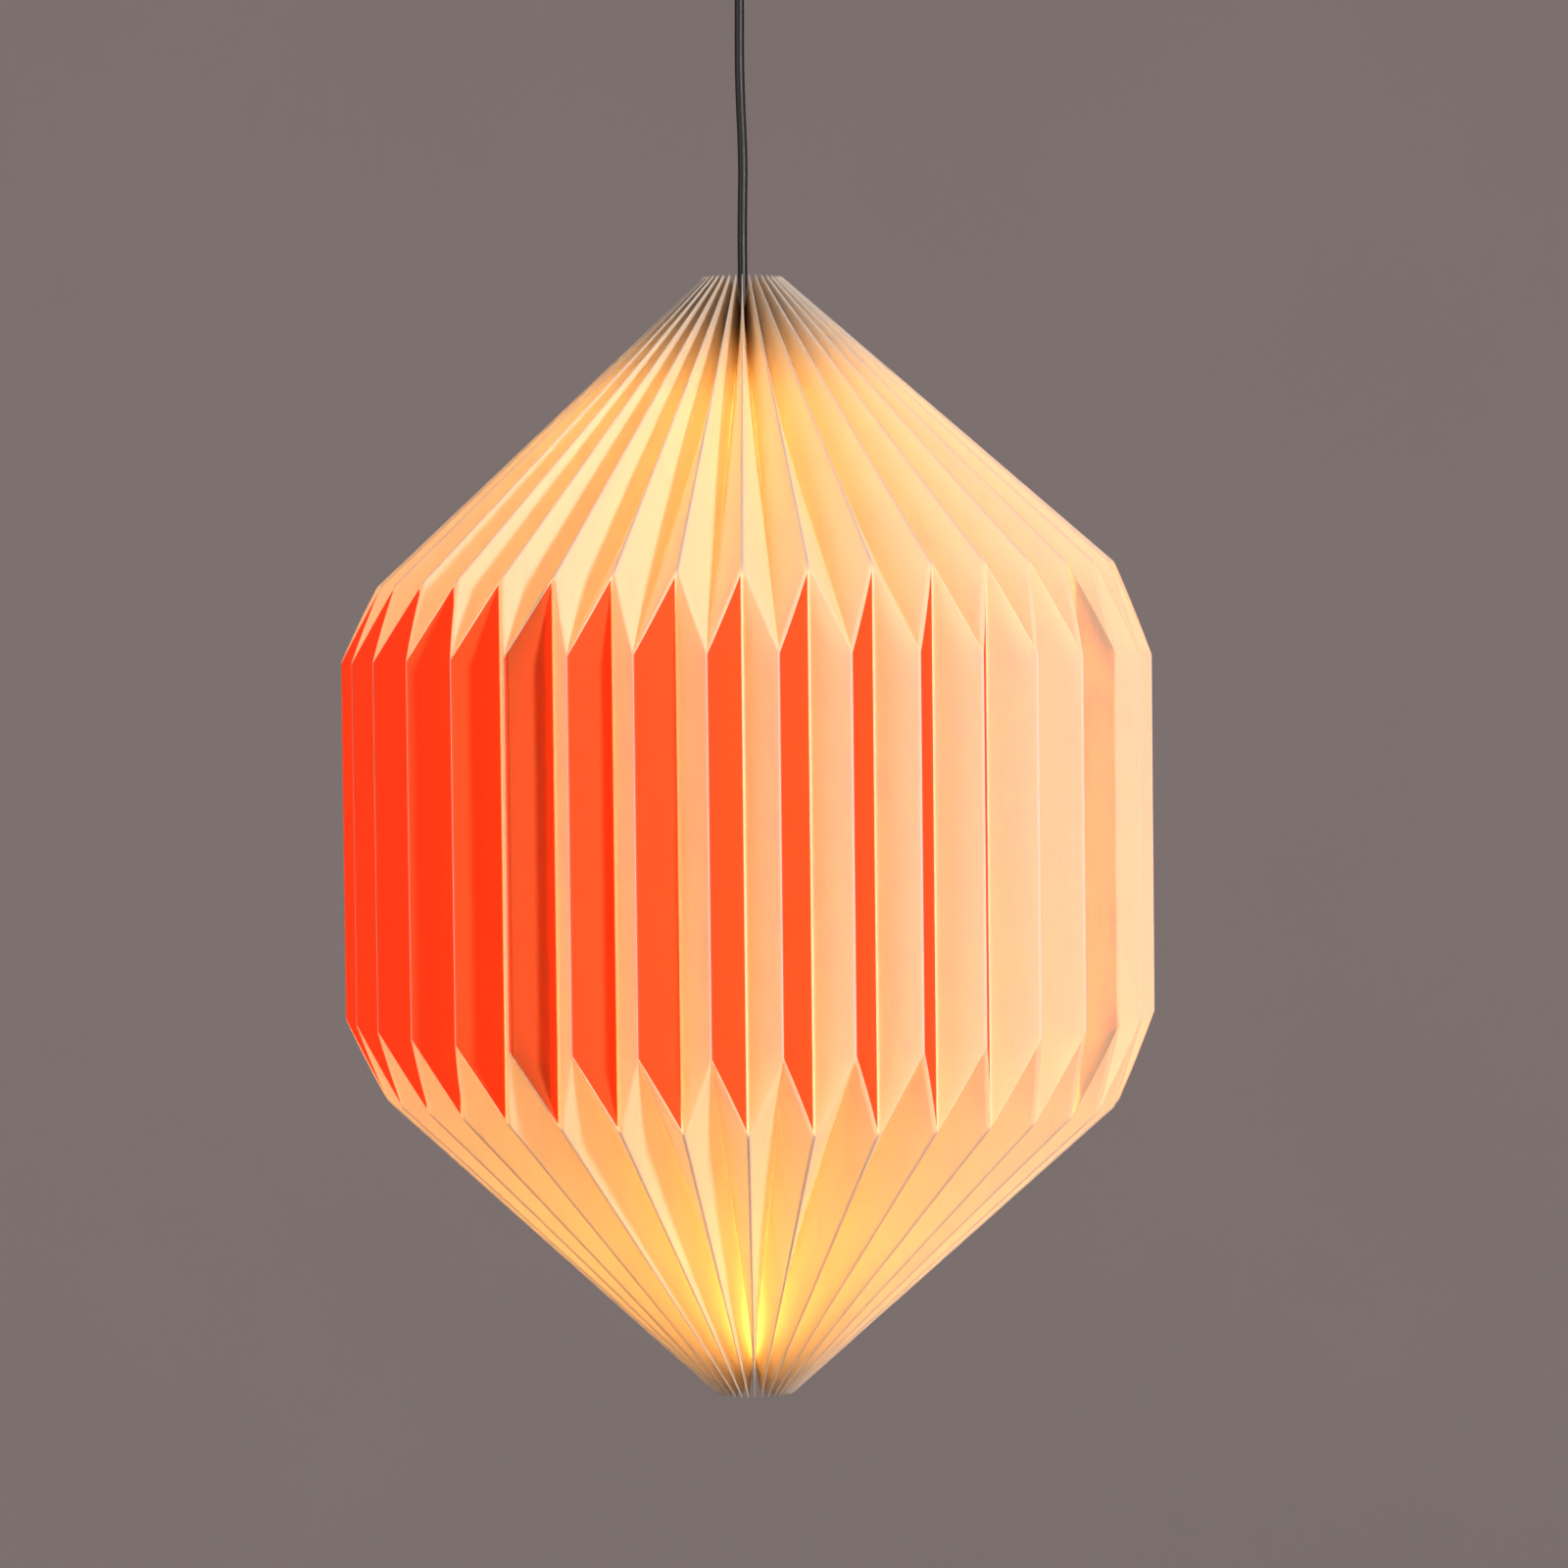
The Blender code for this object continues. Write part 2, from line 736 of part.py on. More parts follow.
glass_outside = glass_outline(glass_radius, neck_radius)
glass_inside = glass_outline(glass_radius - glass_wall, neck_radius - glass_wall)
turned(
    "bulb_glass",
    glass_outside[::-1] + glass_inside,
    clear_glass,
    24,
    closed=False,
)
stem_top = bulb_cap_low + stem_overlap
stem_low = stem_top - stem_length
filament_tilt = (filament_ring - stem_radius) / filament_length
filament_ring_top = stem_radius + (filament_radius + seat_gap) * sqrt(1 + filament_tilt**2)
flare_radius = neck_radius - glass_wall - seat_gap
turned(
    "bulb_stem",
    [
        (0.0, stem_top),
        (flare_radius, stem_top),
        (flare_radius, stem_top - stem_flare_edge),
        (stem_radius, stem_top - stem_flare_length),
        (stem_radius, stem_low + stem_taper),
        (stem_radius / 2, stem_low),
        (0.0, stem_low),
    ],
    clear_glass,
    24,
    closed=False,
)
for k in range(filament_count):
    turn = (k + 0.5) / filament_count * 2 * pi
    upper = stem_low + filament_overlap
    rod(
        f"filament_{k + 1}",
        filament_radius,
        (filament_ring_top * sin(turn), filament_ring_top * cos(turn), upper),
        (filament_ring * sin(turn), filament_ring * cos(turn), upper - filament_length),
        phosphor,
        8,
    )

# ---- paper shade ----
# Pleated sheets stand round the lamp. Even creases are the outer ones: they stand proud in the band
# and turn into the valleys of both cones. Odd creases do the opposite. Every row of a sheet that runs
# across it when it is flat stays at one distance from the sheet's end along each crease.
crease_count = 2 * pleat_count
half_pitch = pi / pleat_count
half_chord = shoulder_radius * sin(half_pitch)
waist_radius = shoulder_radius * cos(half_pitch) - sqrt(panel_width**2 - half_chord**2)
half_band = band_height / 2
tip_height_over_middle = half_band + corner_rise + cone_rise


def crease_lengths(fin_radius):
    """From corner to tip, of an even and of an odd crease."""
    odd = sqrt(cone_rise**2 + (waist_radius - fin_radius) ** 2)
    return odd + corner_rise, odd


def valley_tip(fin_radius):
    """Where an even crease ends: its length from its corner, and panel_width from the fin's tip."""
    length = crease_lengths(fin_radius)[0]
    low, high = 0.0, fin_radius
    for _ in range(60):
        radius = (low + high) / 2
        height = half_band + sqrt(length**2 - (shoulder_radius - radius) ** 2)
        across = (radius - fin_radius * cos(half_pitch)) ** 2 + (fin_radius * sin(half_pitch)) ** 2
        if sqrt(across + (tip_height_over_middle - height) ** 2) > panel_width:
            low = radius
        else:
            high = radius
    return radius, height


fin_radius = least_fin_radius
while valley_tip(fin_radius)[0] < cord_radius + cord_clearance:
    fin_radius += fin_radius_step
valley_length, fin_length = crease_lengths(fin_radius)
sheet_height = 2 * valley_length + band_height
valley_radius, valley_height = valley_tip(fin_radius)
even_crease = ((valley_radius, valley_height), (shoulder_radius, half_band))
odd_crease = ((fin_radius, tip_height_over_middle), (waist_radius, half_band + corner_rise))

# the shade's valleys rest on the holder: on the shoulder of its cap, or on what stands higher
valley_slope = (valley_height - half_band) / (shoulder_radius - valley_radius)
rest_gap = (seat_gap + paper_thickness / 2) * sqrt(1 + valley_slope**2)
supports = (
    (holder_radius, cap_shoulder),
    (holder_cap_neck_radius, cap_top),
    (nipple_flange_radius, holder_top),
)
shade_middle = max(
    height + rest_gap - valley_height + (radius - valley_radius) * valley_slope
    for radius, height in supports
)


def crease_place(crease, run):
    """(radius, height) of a crease at run from the sheet's upper end."""
    if run > sheet_height / 2:
        radius, height = crease_place(crease, sheet_height - run)
        return radius, 2 * shade_middle - height
    tip, corner = even_crease if crease % 2 == 0 else odd_crease
    length = valley_length if crease % 2 == 0 else fin_length
    if run >= length:
        return corner[0], shade_middle + corner[1] - (run - length)
    share = run / length
    return tip[0] + share * (corner[0] - tip[0]), shade_middle + tip[1] + share * (corner[1] - tip[1])


def crease_point(crease, run, side):
    """A point of the fold's flat: side is -1 or 1 for its two edges."""
    radius, height = crease_place(crease, run)
    turn = seam_turn + crease * half_pitch
    out = Vector((sin(turn), -cos(turn), 0.0))
    along = Vector((cos(turn), sin(turn), 0.0))
    return out * radius + along * (side * crease_width / 2) + Vector((0.0, 0.0, height))


def panel_point(panel, runs, inset):
    """A point of a panel at inset from its outer (even) crease."""
    even_run, odd_run = runs
    if panel % 2 == 0:
        outer, inner = crease_point(panel, even_run, 1), crease_point(panel + 1, odd_run, -1)
    else:
        outer, inner = crease_point(panel + 1, even_run, -1), crease_point(panel, odd_run, 1)
    return outer + (inner - outer).normalized() * inset


thread_row = thread_inset + thread_hole
upper_runs = [(run, run) for run in (0.0, thread_row, flap_trim_start, flap_trim_end)]
upper_runs.append((valley_length, fin_length))
rows = upper_runs + [(sheet_height - even, sheet_height - odd) for even, odd in reversed(upper_runs)]
last_row = len(rows) - 1
hole_rows = (0, last_row - 1)
full_flap_row = 3  # counted from either end


def point_behind(panel, row, inset, back):
    """A point behind a panel: back from both of the panel's faces that meet at the row."""
    spot = panel_point(panel, rows[row], inset)
    across = (panel_point(panel, rows[row], inset + flap_edge_inset) - spot).normalized()
    fronts = []
    for other in (row - 1, row + 1):
        if 0 <= other <= last_row:
            down = (panel_point(panel, rows[other], inset) - spot) * (other - row)
            front = down.cross(across) if panel % 2 == 0 else across.cross(down)
            fronts.append(front.normalized())
    wanted = [back] * len(fronts) + [0.0]
    return spot - Vector(np.linalg.lstsq(np.array([*fronts, across]), wanted, rcond=0.05)[0])


def sheet_columns(first_panel, panels, is_flap_sheet):
    """Columns of points, left to right, each a list with one point a row, and the panels' left columns."""
    flap_back = paper_thickness + flap_gap
    columns, panel_starts = [], {}

    def end_panel(panel):
        """The columns of a seam's panel, from its outer crease inwards, without the inner crease."""
        hidden_edge = panel_width - flap_edge_inset
        if not is_flap_sheet:
            insets = (face_edge_inset, hidden_edge)
            return [[panel_point(panel, runs, inset) for runs in rows] for inset in insets]
        made = []
        for inset, trimmed_inset in ((flap_root_inset, flap_trim_width / 2), (hidden_edge, flap_trim_width)):
            column = []
            for row in range(len(rows)):
                from_end = min(row, last_row - row)
                place = trimmed_inset if from_end < full_flap_row else inset
                back = flap_back if from_end >= full_flap_row - 1 else 0.0
                column.append(point_behind(panel, row, place, back))
            made.append(column)
        return made

    last_panel = first_panel + panels - 1
    if is_flap_sheet:  # it runs on over the seam's outer crease, so its free edge lies at the inner one
        columns += reversed(end_panel(first_panel))
    else:
        panel_starts[0] = first_panel
        columns += end_panel(first_panel)
    for crease in range(first_panel + 1, last_panel + 1):
        columns.append([crease_point(crease, runs[crease % 2], -1) for runs in rows])
        if crease < last_panel:
            panel_starts[len(columns)] = crease
        columns.append([crease_point(crease, runs[crease % 2], 1) for runs in rows])
    if is_flap_sheet:
        columns += end_panel(last_panel)
    else:
        panel_starts[len(columns)] = last_panel
        columns += reversed(end_panel(last_panel))
    return columns, panel_starts


def thread_spots(panel, row):
    """The four corners of a thread hole, in the order of its panel's own corners."""
    run = thread_inset if row < last_row / 2 else sheet_height - thread_inset
    half = thread_hole / 2
    insets = (thread_offset - half, thread_offset + half)
    if panel % 2:
        insets = insets[::-1]
    upper, lower = run - half, run + half
    return [
        panel_point(panel, (place, place), inset)
        for inset, place in ((insets[0], upper), (insets[0], lower), (insets[1], lower), (insets[1], upper))
    ]


def thicken(bm, thickness):
    """Makes a closed solid of an open sheet, half its thickness to each side."""
    bm.normal_update()
    shifts = {}
    for vert in bm.verts:
        normals = np.array([face.normal[:] for face in vert.link_faces])
        shift = np.linalg.lstsq(normals, np.ones(len(normals)), rcond=0.2)[0]
        shifts[vert] = Vector(shift) * (thickness / 2)
    sheet_faces = [face.verts[:] for face in bm.faces]
    edges = [
        (loop.vert, loop.link_loop_next.vert)
        for face in bm.faces
        for loop in face.loops
        if loop.edge.is_boundary
    ]
    behind = {vert: bm.verts.new(vert.co - shift) for vert, shift in shifts.items()}
    for vert, shift in shifts.items():
        vert.co += shift
    for first, *others in sheet_faces:  # from the same corner, so that both sides split alike
        bm.faces.new([behind[v] for v in (first, *reversed(others))])
    for a, b in edges:
        bm.faces.new((b, a, behind[a], behind[b]))


def paper_sheet(name, first_panel, panels, is_flap_sheet):
    columns, panel_starts = sheet_columns(first_panel, panels, is_flap_sheet)
    bm = bmesh.new()
    grid = [[bm.verts.new(point) for point in column] for column in columns]
    for left in range(len(grid) - 1):
        for row in range(last_row):
            corners = (grid[left][row], grid[left][row + 1], grid[left + 1][row + 1], grid[left + 1][row])
            if left in panel_starts and row in hole_rows:
                hole = [bm.verts.new(point) for point in thread_spots(panel_starts[left], row)]
                for k in range(4):
                    bm.faces.new((corners[k], corners[(k + 1) % 4], hole[(k + 1) % 4], hole[k]))
            else:
                bm.faces.new(corners)
    thicken(bm, paper_thickness)
    return piece_from(name, bm, cream_paper, 20.0)


panels_each = crease_count // sheet_count
for k in range(sheet_count):
    paper_sheet(f"paper_sheet_{k + 1}", k * panels_each, panels_each + 1, k % 2 == 1)

# ---- gather threads: one through the holes at each end, drawn up round the cord ----
thread_spot = panel_point(0, (thread_inset, thread_inset), thread_offset)
thread_ring = sqrt(thread_spot.x**2 + thread_spot.y**2)
thread_heights = {"top": thread_spot.z, "bottom": 2 * shade_middle - thread_spot.z}
for end, height in thread_heights.items():
    steps = crease_count // 2
    loop = [k / steps * 2 * pi for k in range(steps)]
    strand(
        f"{end}_thread",
        [(thread_ring * sin(a), -thread_ring * cos(a), height) for a in loop],
        thread_radius,
        white_thread,
        1,
        is_loop=True,
    )
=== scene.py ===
from math import cos, pi, radians, sin, sqrt

import bmesh
import bpy
from mathutils import Matrix, Vector


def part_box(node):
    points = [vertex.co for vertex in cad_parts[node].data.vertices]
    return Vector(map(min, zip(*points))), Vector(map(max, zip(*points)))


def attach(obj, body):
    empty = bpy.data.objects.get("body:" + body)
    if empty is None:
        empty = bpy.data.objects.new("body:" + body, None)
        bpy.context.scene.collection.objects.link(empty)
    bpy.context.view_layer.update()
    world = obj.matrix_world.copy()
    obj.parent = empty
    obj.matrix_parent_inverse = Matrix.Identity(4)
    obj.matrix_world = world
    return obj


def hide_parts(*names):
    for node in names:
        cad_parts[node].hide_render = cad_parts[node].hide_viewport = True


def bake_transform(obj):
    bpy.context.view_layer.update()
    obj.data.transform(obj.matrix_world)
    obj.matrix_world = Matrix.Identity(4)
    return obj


# Lit pendant lamp: a pleated paper shade on a black flex, with its ceiling cup, lampholder and bulb.
# Metres, +Z up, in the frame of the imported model. The ceiling is at z = 0 and the lamp hangs from it.

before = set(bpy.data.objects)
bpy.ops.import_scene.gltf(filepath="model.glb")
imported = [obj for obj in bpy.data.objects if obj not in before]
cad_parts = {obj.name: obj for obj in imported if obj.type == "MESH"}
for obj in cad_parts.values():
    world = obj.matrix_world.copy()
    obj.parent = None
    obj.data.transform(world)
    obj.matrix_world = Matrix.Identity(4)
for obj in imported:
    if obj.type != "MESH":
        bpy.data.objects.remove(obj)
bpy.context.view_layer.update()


# Node trees and meshes

class Field:  # a socket of a node tree that plain arithmetic works on
    def __init__(self, tree, socket):
        self.tree, self.socket = tree, socket

    def put(self, kind, *others, clamp=False):
        node = self.tree.nodes.new("ShaderNodeMath")
        node.operation, node.use_clamp = kind, clamp
        for place, value in enumerate((self, *others)):
            join(self.tree, value, node.inputs[place])
        return Field(self.tree, node.outputs[0])

    def __add__(self, other):
        return self.put("ADD", other)

    def __sub__(self, other):
        return self.put("SUBTRACT", other)

    def __rsub__(self, other):
        return (self * -1.0).put("ADD", other)

    def __mul__(self, other):
        return self.put("MULTIPLY", other)

    def __truediv__(self, other):
        return self.put("DIVIDE", other)

    __radd__ = __add__
    __rmul__ = __mul__

    def isOver(self, limit):
        return self.put("GREATER_THAN", limit)

    def isUnder(self, limit):
        return self.put("LESS_THAN", limit)

    def isAt(self, number):  # for whole numbers
        return self.put("COMPARE", number, 0.1)


def join(tree, value, socket):
    if isinstance(value, Field):
        value = value.socket
    if isinstance(value, bpy.types.NodeSocket):
        tree.links.new(value, socket)
    else:
        socket.default_value = value


def addNode(tree, kind, feeds=None, **settings):
    node = tree.nodes.new(kind)
    for name, value in settings.items():
        setattr(node, name, value)
    for name, value in (feeds or {}).items():
        join(tree, value, node.inputs[name])
    return node


def mixed(tree, share, first, second):  # between two colours
    node = addNode(tree, "ShaderNodeMix", data_type="RGBA")
    join(tree, share, node.inputs[0])
    join(tree, first, node.inputs[6])
    join(tree, second, node.inputs[7])
    return node.outputs[2]


def tone(red, green, blue):
    return (red, green, blue, 1.0)


def newMaterial(name):
    material = bpy.data.materials.new(name)
    material.use_nodes = True
    tree = material.node_tree
    tree.nodes.clear()
    return material, tree, addNode(tree, "ShaderNodeOutputMaterial")


def noiseOn(tree, place, scale, detail=4.0, stretch=(1.0, 1.0, 1.0)):
    mapping = addNode(tree, "ShaderNodeMapping", {"Vector": place, "Scale": stretch})
    node = addNode(tree, "ShaderNodeTexNoise", {"Vector": mapping.outputs[0], "Scale": scale, "Detail": detail})
    return Field(tree, node.outputs[0])


def rangeOf(tree, value, low, high, start=0.35, end=0.65):
    feeds = {"Value": value, "From Min": start, "From Max": end, "To Min": low, "To Max": high}
    return Field(tree, addNode(tree, "ShaderNodeMapRange", feeds).outputs[0])


# A finish with cloudy colour, uneven gloss and a fine grain
def surface(name, base, second, roughness, metal=0.0, scale=60.0, grain=0.00003, stretch=(1, 1, 1), coat=0.0):
    material, tree, output = newMaterial(name)
    place = addNode(tree, "ShaderNodeTexCoord").outputs["Object"]
    clouds = noiseOn(tree, place, scale, 5.0, stretch)
    fine = noiseOn(tree, place, scale * 30, 3.0, stretch)
    colour = mixed(tree, rangeOf(tree, clouds, 0.0, 1.0), tone(*base), tone(*second))
    bump = addNode(tree, "ShaderNodeBump", {"Height": fine, "Distance": grain, "Strength": 0.6})
    shader = addNode(tree, "ShaderNodeBsdfPrincipled", {
        "Base Color": colour,
        "Metallic": metal,
        "Roughness": rangeOf(tree, clouds * 0.6 + fine * 0.4, roughness * 0.8, roughness * 1.25),
        "Coat Weight": coat,
        "Normal": bump.outputs[0],
    })
    tree.links.new(shader.outputs[0], output.inputs[0])
    return material


def glowing(name, colour, strength):
    material, tree, output = newMaterial(name)
    place = addNode(tree, "ShaderNodeTexCoord").outputs["Object"]
    dots = noiseOn(tree, place, 900.0, 1.0)
    shader = addNode(tree, "ShaderNodeBsdfPrincipled", {
        "Base Color": mixed(tree, rangeOf(tree, dots, 0.0, 1.0), tone(0.9, 0.55, 0.10), tone(0.98, 0.75, 0.30)),
        "Roughness": 0.5,
        "Emission Color": tone(*colour),
        "Emission Strength": strength,
    })
    tree.links.new(shader.outputs[0], output.inputs[0])
    return material


# Thin clear glass: what is behind shows through it unbent, with a reflection that grows towards its edges
def clearGlass(name):
    material, tree, output = newMaterial(name)
    place = addNode(tree, "ShaderNodeTexCoord").outputs["Object"]
    smears = noiseOn(tree, place, 40.0, 3.0)
    glossy = addNode(tree, "ShaderNodeBsdfAnisotropic", {
        "Color": tone(1.0, 1.0, 1.0),
        "Roughness": rangeOf(tree, smears, 0.02, 0.10),
    })
    clear = addNode(tree, "ShaderNodeBsdfTransparent", {"Color": tone(0.97, 0.975, 0.96)})
    edge = addNode(tree, "ShaderNodeFresnel", {"IOR": 1.5})
    mix = addNode(tree, "ShaderNodeMixShader", {0: edge.outputs[0], 1: clear.outputs[0], 2: glossy.outputs[0]})
    tree.links.new(mix.outputs[0], output.inputs[0])
    return material


def show(name, mesh, *materials):
    piece = bpy.data.objects.new(name, mesh)
    bpy.context.scene.collection.objects.link(piece)
    for material in materials:
        mesh.materials.append(material)
    return piece


def meshFrom(name, bm, sharpAngle=32.0):
    mesh = bpy.data.meshes.new(name)
    bmesh.ops.recalc_face_normals(bm, faces=bm.faces)
    bm.to_mesh(mesh)
    bm.free()
    mesh.shade_smooth()
    mesh.set_sharp_from_angle(angle=radians(sharpAngle))
    return mesh


# Rounds the corners of an outline of (radius, height, rounding) points
def softOutline(points, steps=4):
    soft = []
    for k, (x, z, rounding) in enumerate(points):
        here = Vector((x, z))
        if rounding == 0 or k in (0, len(points) - 1):
            soft.append((x, z))
            continue
        before, after = Vector(points[k - 1][:2]) - here, Vector(points[k + 1][:2]) - here
        reach = min(rounding, before.length * 0.49, after.length * 0.49)
        start, end = here + before.normalized() * reach, here + after.normalized() * reach
        for step in range(steps + 1):
            t = step / steps
            spot = (1 - t) ** 2 * start + 2 * t * (1 - t) * here + t * t * end
            soft.append((spot.x, spot.y))
    return soft


def lathe(name, outline, steps=96, isClosed=True):
    bm = bmesh.new()
    rings = []
    for radius, height in outline:
        if radius < 1e-7:
            rings.append([bm.verts.new((0.0, 0.0, height))] * steps)
        else:
            angles = [k / steps * 2 * pi for k in range(steps)]
            rings.append([bm.verts.new((radius * cos(a), radius * sin(a), height)) for a in angles])
    pairs = list(zip(rings, rings[1:]))
    if isClosed:
        pairs.append((rings[-1], rings[0]))
    for low, high in pairs:
        for k in range(steps):
            corners = [low[k], low[(k + 1) % steps], high[(k + 1) % steps], high[k]]
            distinct = list(dict.fromkeys(corners))
            if len(distinct) > 2:
                bm.faces.new(distinct)
    return meshFrom(name, bm)


# Points every step along a smooth curve through the route's points
def smoothLine(route, step):
    points = [Vector(p) for p in route]
    ends = [2 * points[0] - points[1], *points, 2 * points[-1] - points[-2]]
    fine = []
    for a, b, c, d in zip(ends, ends[1:], ends[2:], ends[3:]):
        pieces = max(1, round((c - b).length / step))
        for k in range(pieces):
            t = k / pieces
            fine.append(
                0.5 * (2 * b + (c - a) * t + (2 * a - 5 * b + 4 * c - d) * t**2 + (3 * b - a - 3 * c + d) * t**3)
            )
    return fine + [points[-1]]


def addTube(bm, points, radius, sides=16, isLoop=False):
    count = len(points)
    across = None
    rings = []
    for k, point in enumerate(points):
        before = points[k - 1] if k or isLoop else point
        after = points[(k + 1) % count] if k < count - 1 or isLoop else point
        along = (after - before).normalized()
        if across is None:
            across = along.orthogonal()
        across = (across - along * across.dot(along)).normalized()
        other = along.cross(across)
        turns = [s / sides * 2 * pi for s in range(sides)]
        rings.append([bm.verts.new(point + (across * cos(a) + other * sin(a)) * radius) for a in turns])
    pairs = list(zip(rings, rings[1:]))
    if isLoop:
        pairs.append((rings[-1], rings[0]))
    else:
        bm.faces.new(rings[0])
        bm.faces.new(rings[-1])
    for low, high in pairs:
        for s in range(sides):
            bm.faces.new((low[s], low[(s + 1) % sides], high[(s + 1) % sides], high[s]))


def tube(name, points, radius, sides=16):
    bm = bmesh.new()
    addTube(bm, points, radius, sides)
    return meshFrom(name, bm, 50.0)


# A geometry tree's inputs as fields, by name
def newTree(name, inputs):
    tree = bpy.data.node_groups.new(name, "GeometryNodeTree")
    tree.interface.new_socket("Geometry", in_out="INPUT", socket_type="NodeSocketGeometry")
    tree.interface.new_socket("Geometry", in_out="OUTPUT", socket_type="NodeSocketGeometry")
    for label, kind in inputs.items():
        tree.interface.new_socket(label, in_out="INPUT", socket_type="NodeSocket" + kind)
    source = addNode(tree, "NodeGroupInput")
    fields = {label: Field(tree, source.outputs[label]) for label in inputs}
    return tree, fields, addNode(tree, "NodeGroupOutput")


# Runs a geometry tree and keeps its result as a plain mesh
def grow(name, tree, values, source=None):
    base = show(name + "Base", source or bpy.data.meshes.new(name + "Base"))
    modifier = base.modifiers.new("grow", "NODES")
    modifier.node_group = tree
    for item in tree.interface.items_tree:
        if item.in_out == "INPUT" and item.name in values:
            modifier[item.identifier] = values[item.name]
    found = bpy.context.evaluated_depsgraph_get()
    grown = base.evaluated_get(found)
    mesh = bpy.data.meshes.new_from_object(grown, preserve_all_data_layers=True, depsgraph=found)
    bpy.data.objects.remove(base)
    mesh.name = name
    return show(name, mesh)


def own(piece, body, slot, *nodes):
    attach(piece, body)
    if nodes:
        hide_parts(*nodes)
    return piece


# A CAD node's own shape with softened edges
def softened(name, node, bevel, material, body, slot):
    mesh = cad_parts[node].data.copy()
    mesh.materials.clear()
    bm = bmesh.new()
    bm.from_mesh(mesh)
    bmesh.ops.remove_doubles(bm, verts=bm.verts, dist=1e-6)
    bmesh.ops.dissolve_limit(bm, angle_limit=radians(2), verts=bm.verts, edges=bm.edges)
    piece = show(name, meshFrom(name, bm), material)
    edge = piece.modifiers.new("edge", "BEVEL")
    edge.width, edge.segments, edge.limit_method, edge.angle_limit = bevel, 2, "ANGLE", radians(35)
    edge.harden_normals = True
    return own(piece, body, slot, node)


# Camera, and the flex that it sees

print("camera and flex")
sheetBoxes = [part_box(f"paper_sheet_{k}") for k in (1, 2, 3, 4)]
shadeTop = max(high.z for low, high in sheetBoxes)
shadeLow = min(low.z for low, high in sheetBoxes)
shadeMiddle = (shadeTop + shadeLow) / 2

cameraValues = {
    "distance": 2.195, "aside": 0.0178, "above": 0.1017, "tiltDown": 1.97, "roll": 0.62, "lens": 101.35,
}
lensData = bpy.data.cameras.new("camera")
lensData.lens = cameraValues["lens"]
camera = bpy.data.objects.new("camera", lensData)
bpy.context.scene.collection.objects.link(camera)
camera.location = (cameraValues["aside"], -cameraValues["distance"], shadeMiddle + cameraValues["above"])
cameraTurn = Matrix.Rotation(radians(90 - cameraValues["tiltDown"]), 3, "X")
camera.rotation_euler = (cameraTurn @ Matrix.Rotation(-radians(cameraValues["roll"]), 3, "Z")).to_euler()
bpy.context.scene.camera = camera
bpy.context.scene.view_settings.view_transform = "Standard"

flexValues = {
    "diameter": 0.0048,
    "gripMouth": -0.0458,
    "top": -0.0218,
    "holderTop": -0.2153,
    "end": -0.2263,
    # how far it strays sideways, at even heights from the grip down to the lampholder
    "strays": (0.0, -0.0001, -0.0003, -0.0003, 0.0, 0.0005, 0.0007, 0.0004, 0.0001, 0.0, 0.0, 0.0),
}


def flexRoute(values):
    start = values["gripMouth"] - 0.001
    drop = (start - values["holderTop"]) / (len(values["strays"]) - 1)
    hanging = [(stray, 0.0, start - drop * k) for k, stray in enumerate(values["strays"])]
    return [(0.0, 0.0, values["top"]), (0.0, 0.0, values["top"] - 0.012), *hanging, (0.0, 0.0, values["end"])]


flexLine = smoothLine(flexRoute(flexValues), 0.002)
flexRubber = surface(
    "flexRubber", (0.008, 0.008, 0.009), (0.014, 0.013, 0.014), 0.50, 0.0, 90.0, 0.00003, (1, 1, 0.15)
)
flex = show("flex", tube("flex", flexLine, flexValues["diameter"] / 2, 24), flexRubber)
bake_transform(flex)
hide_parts("cord", "cord_in_cup")

# Paper shade

print("paper shade")


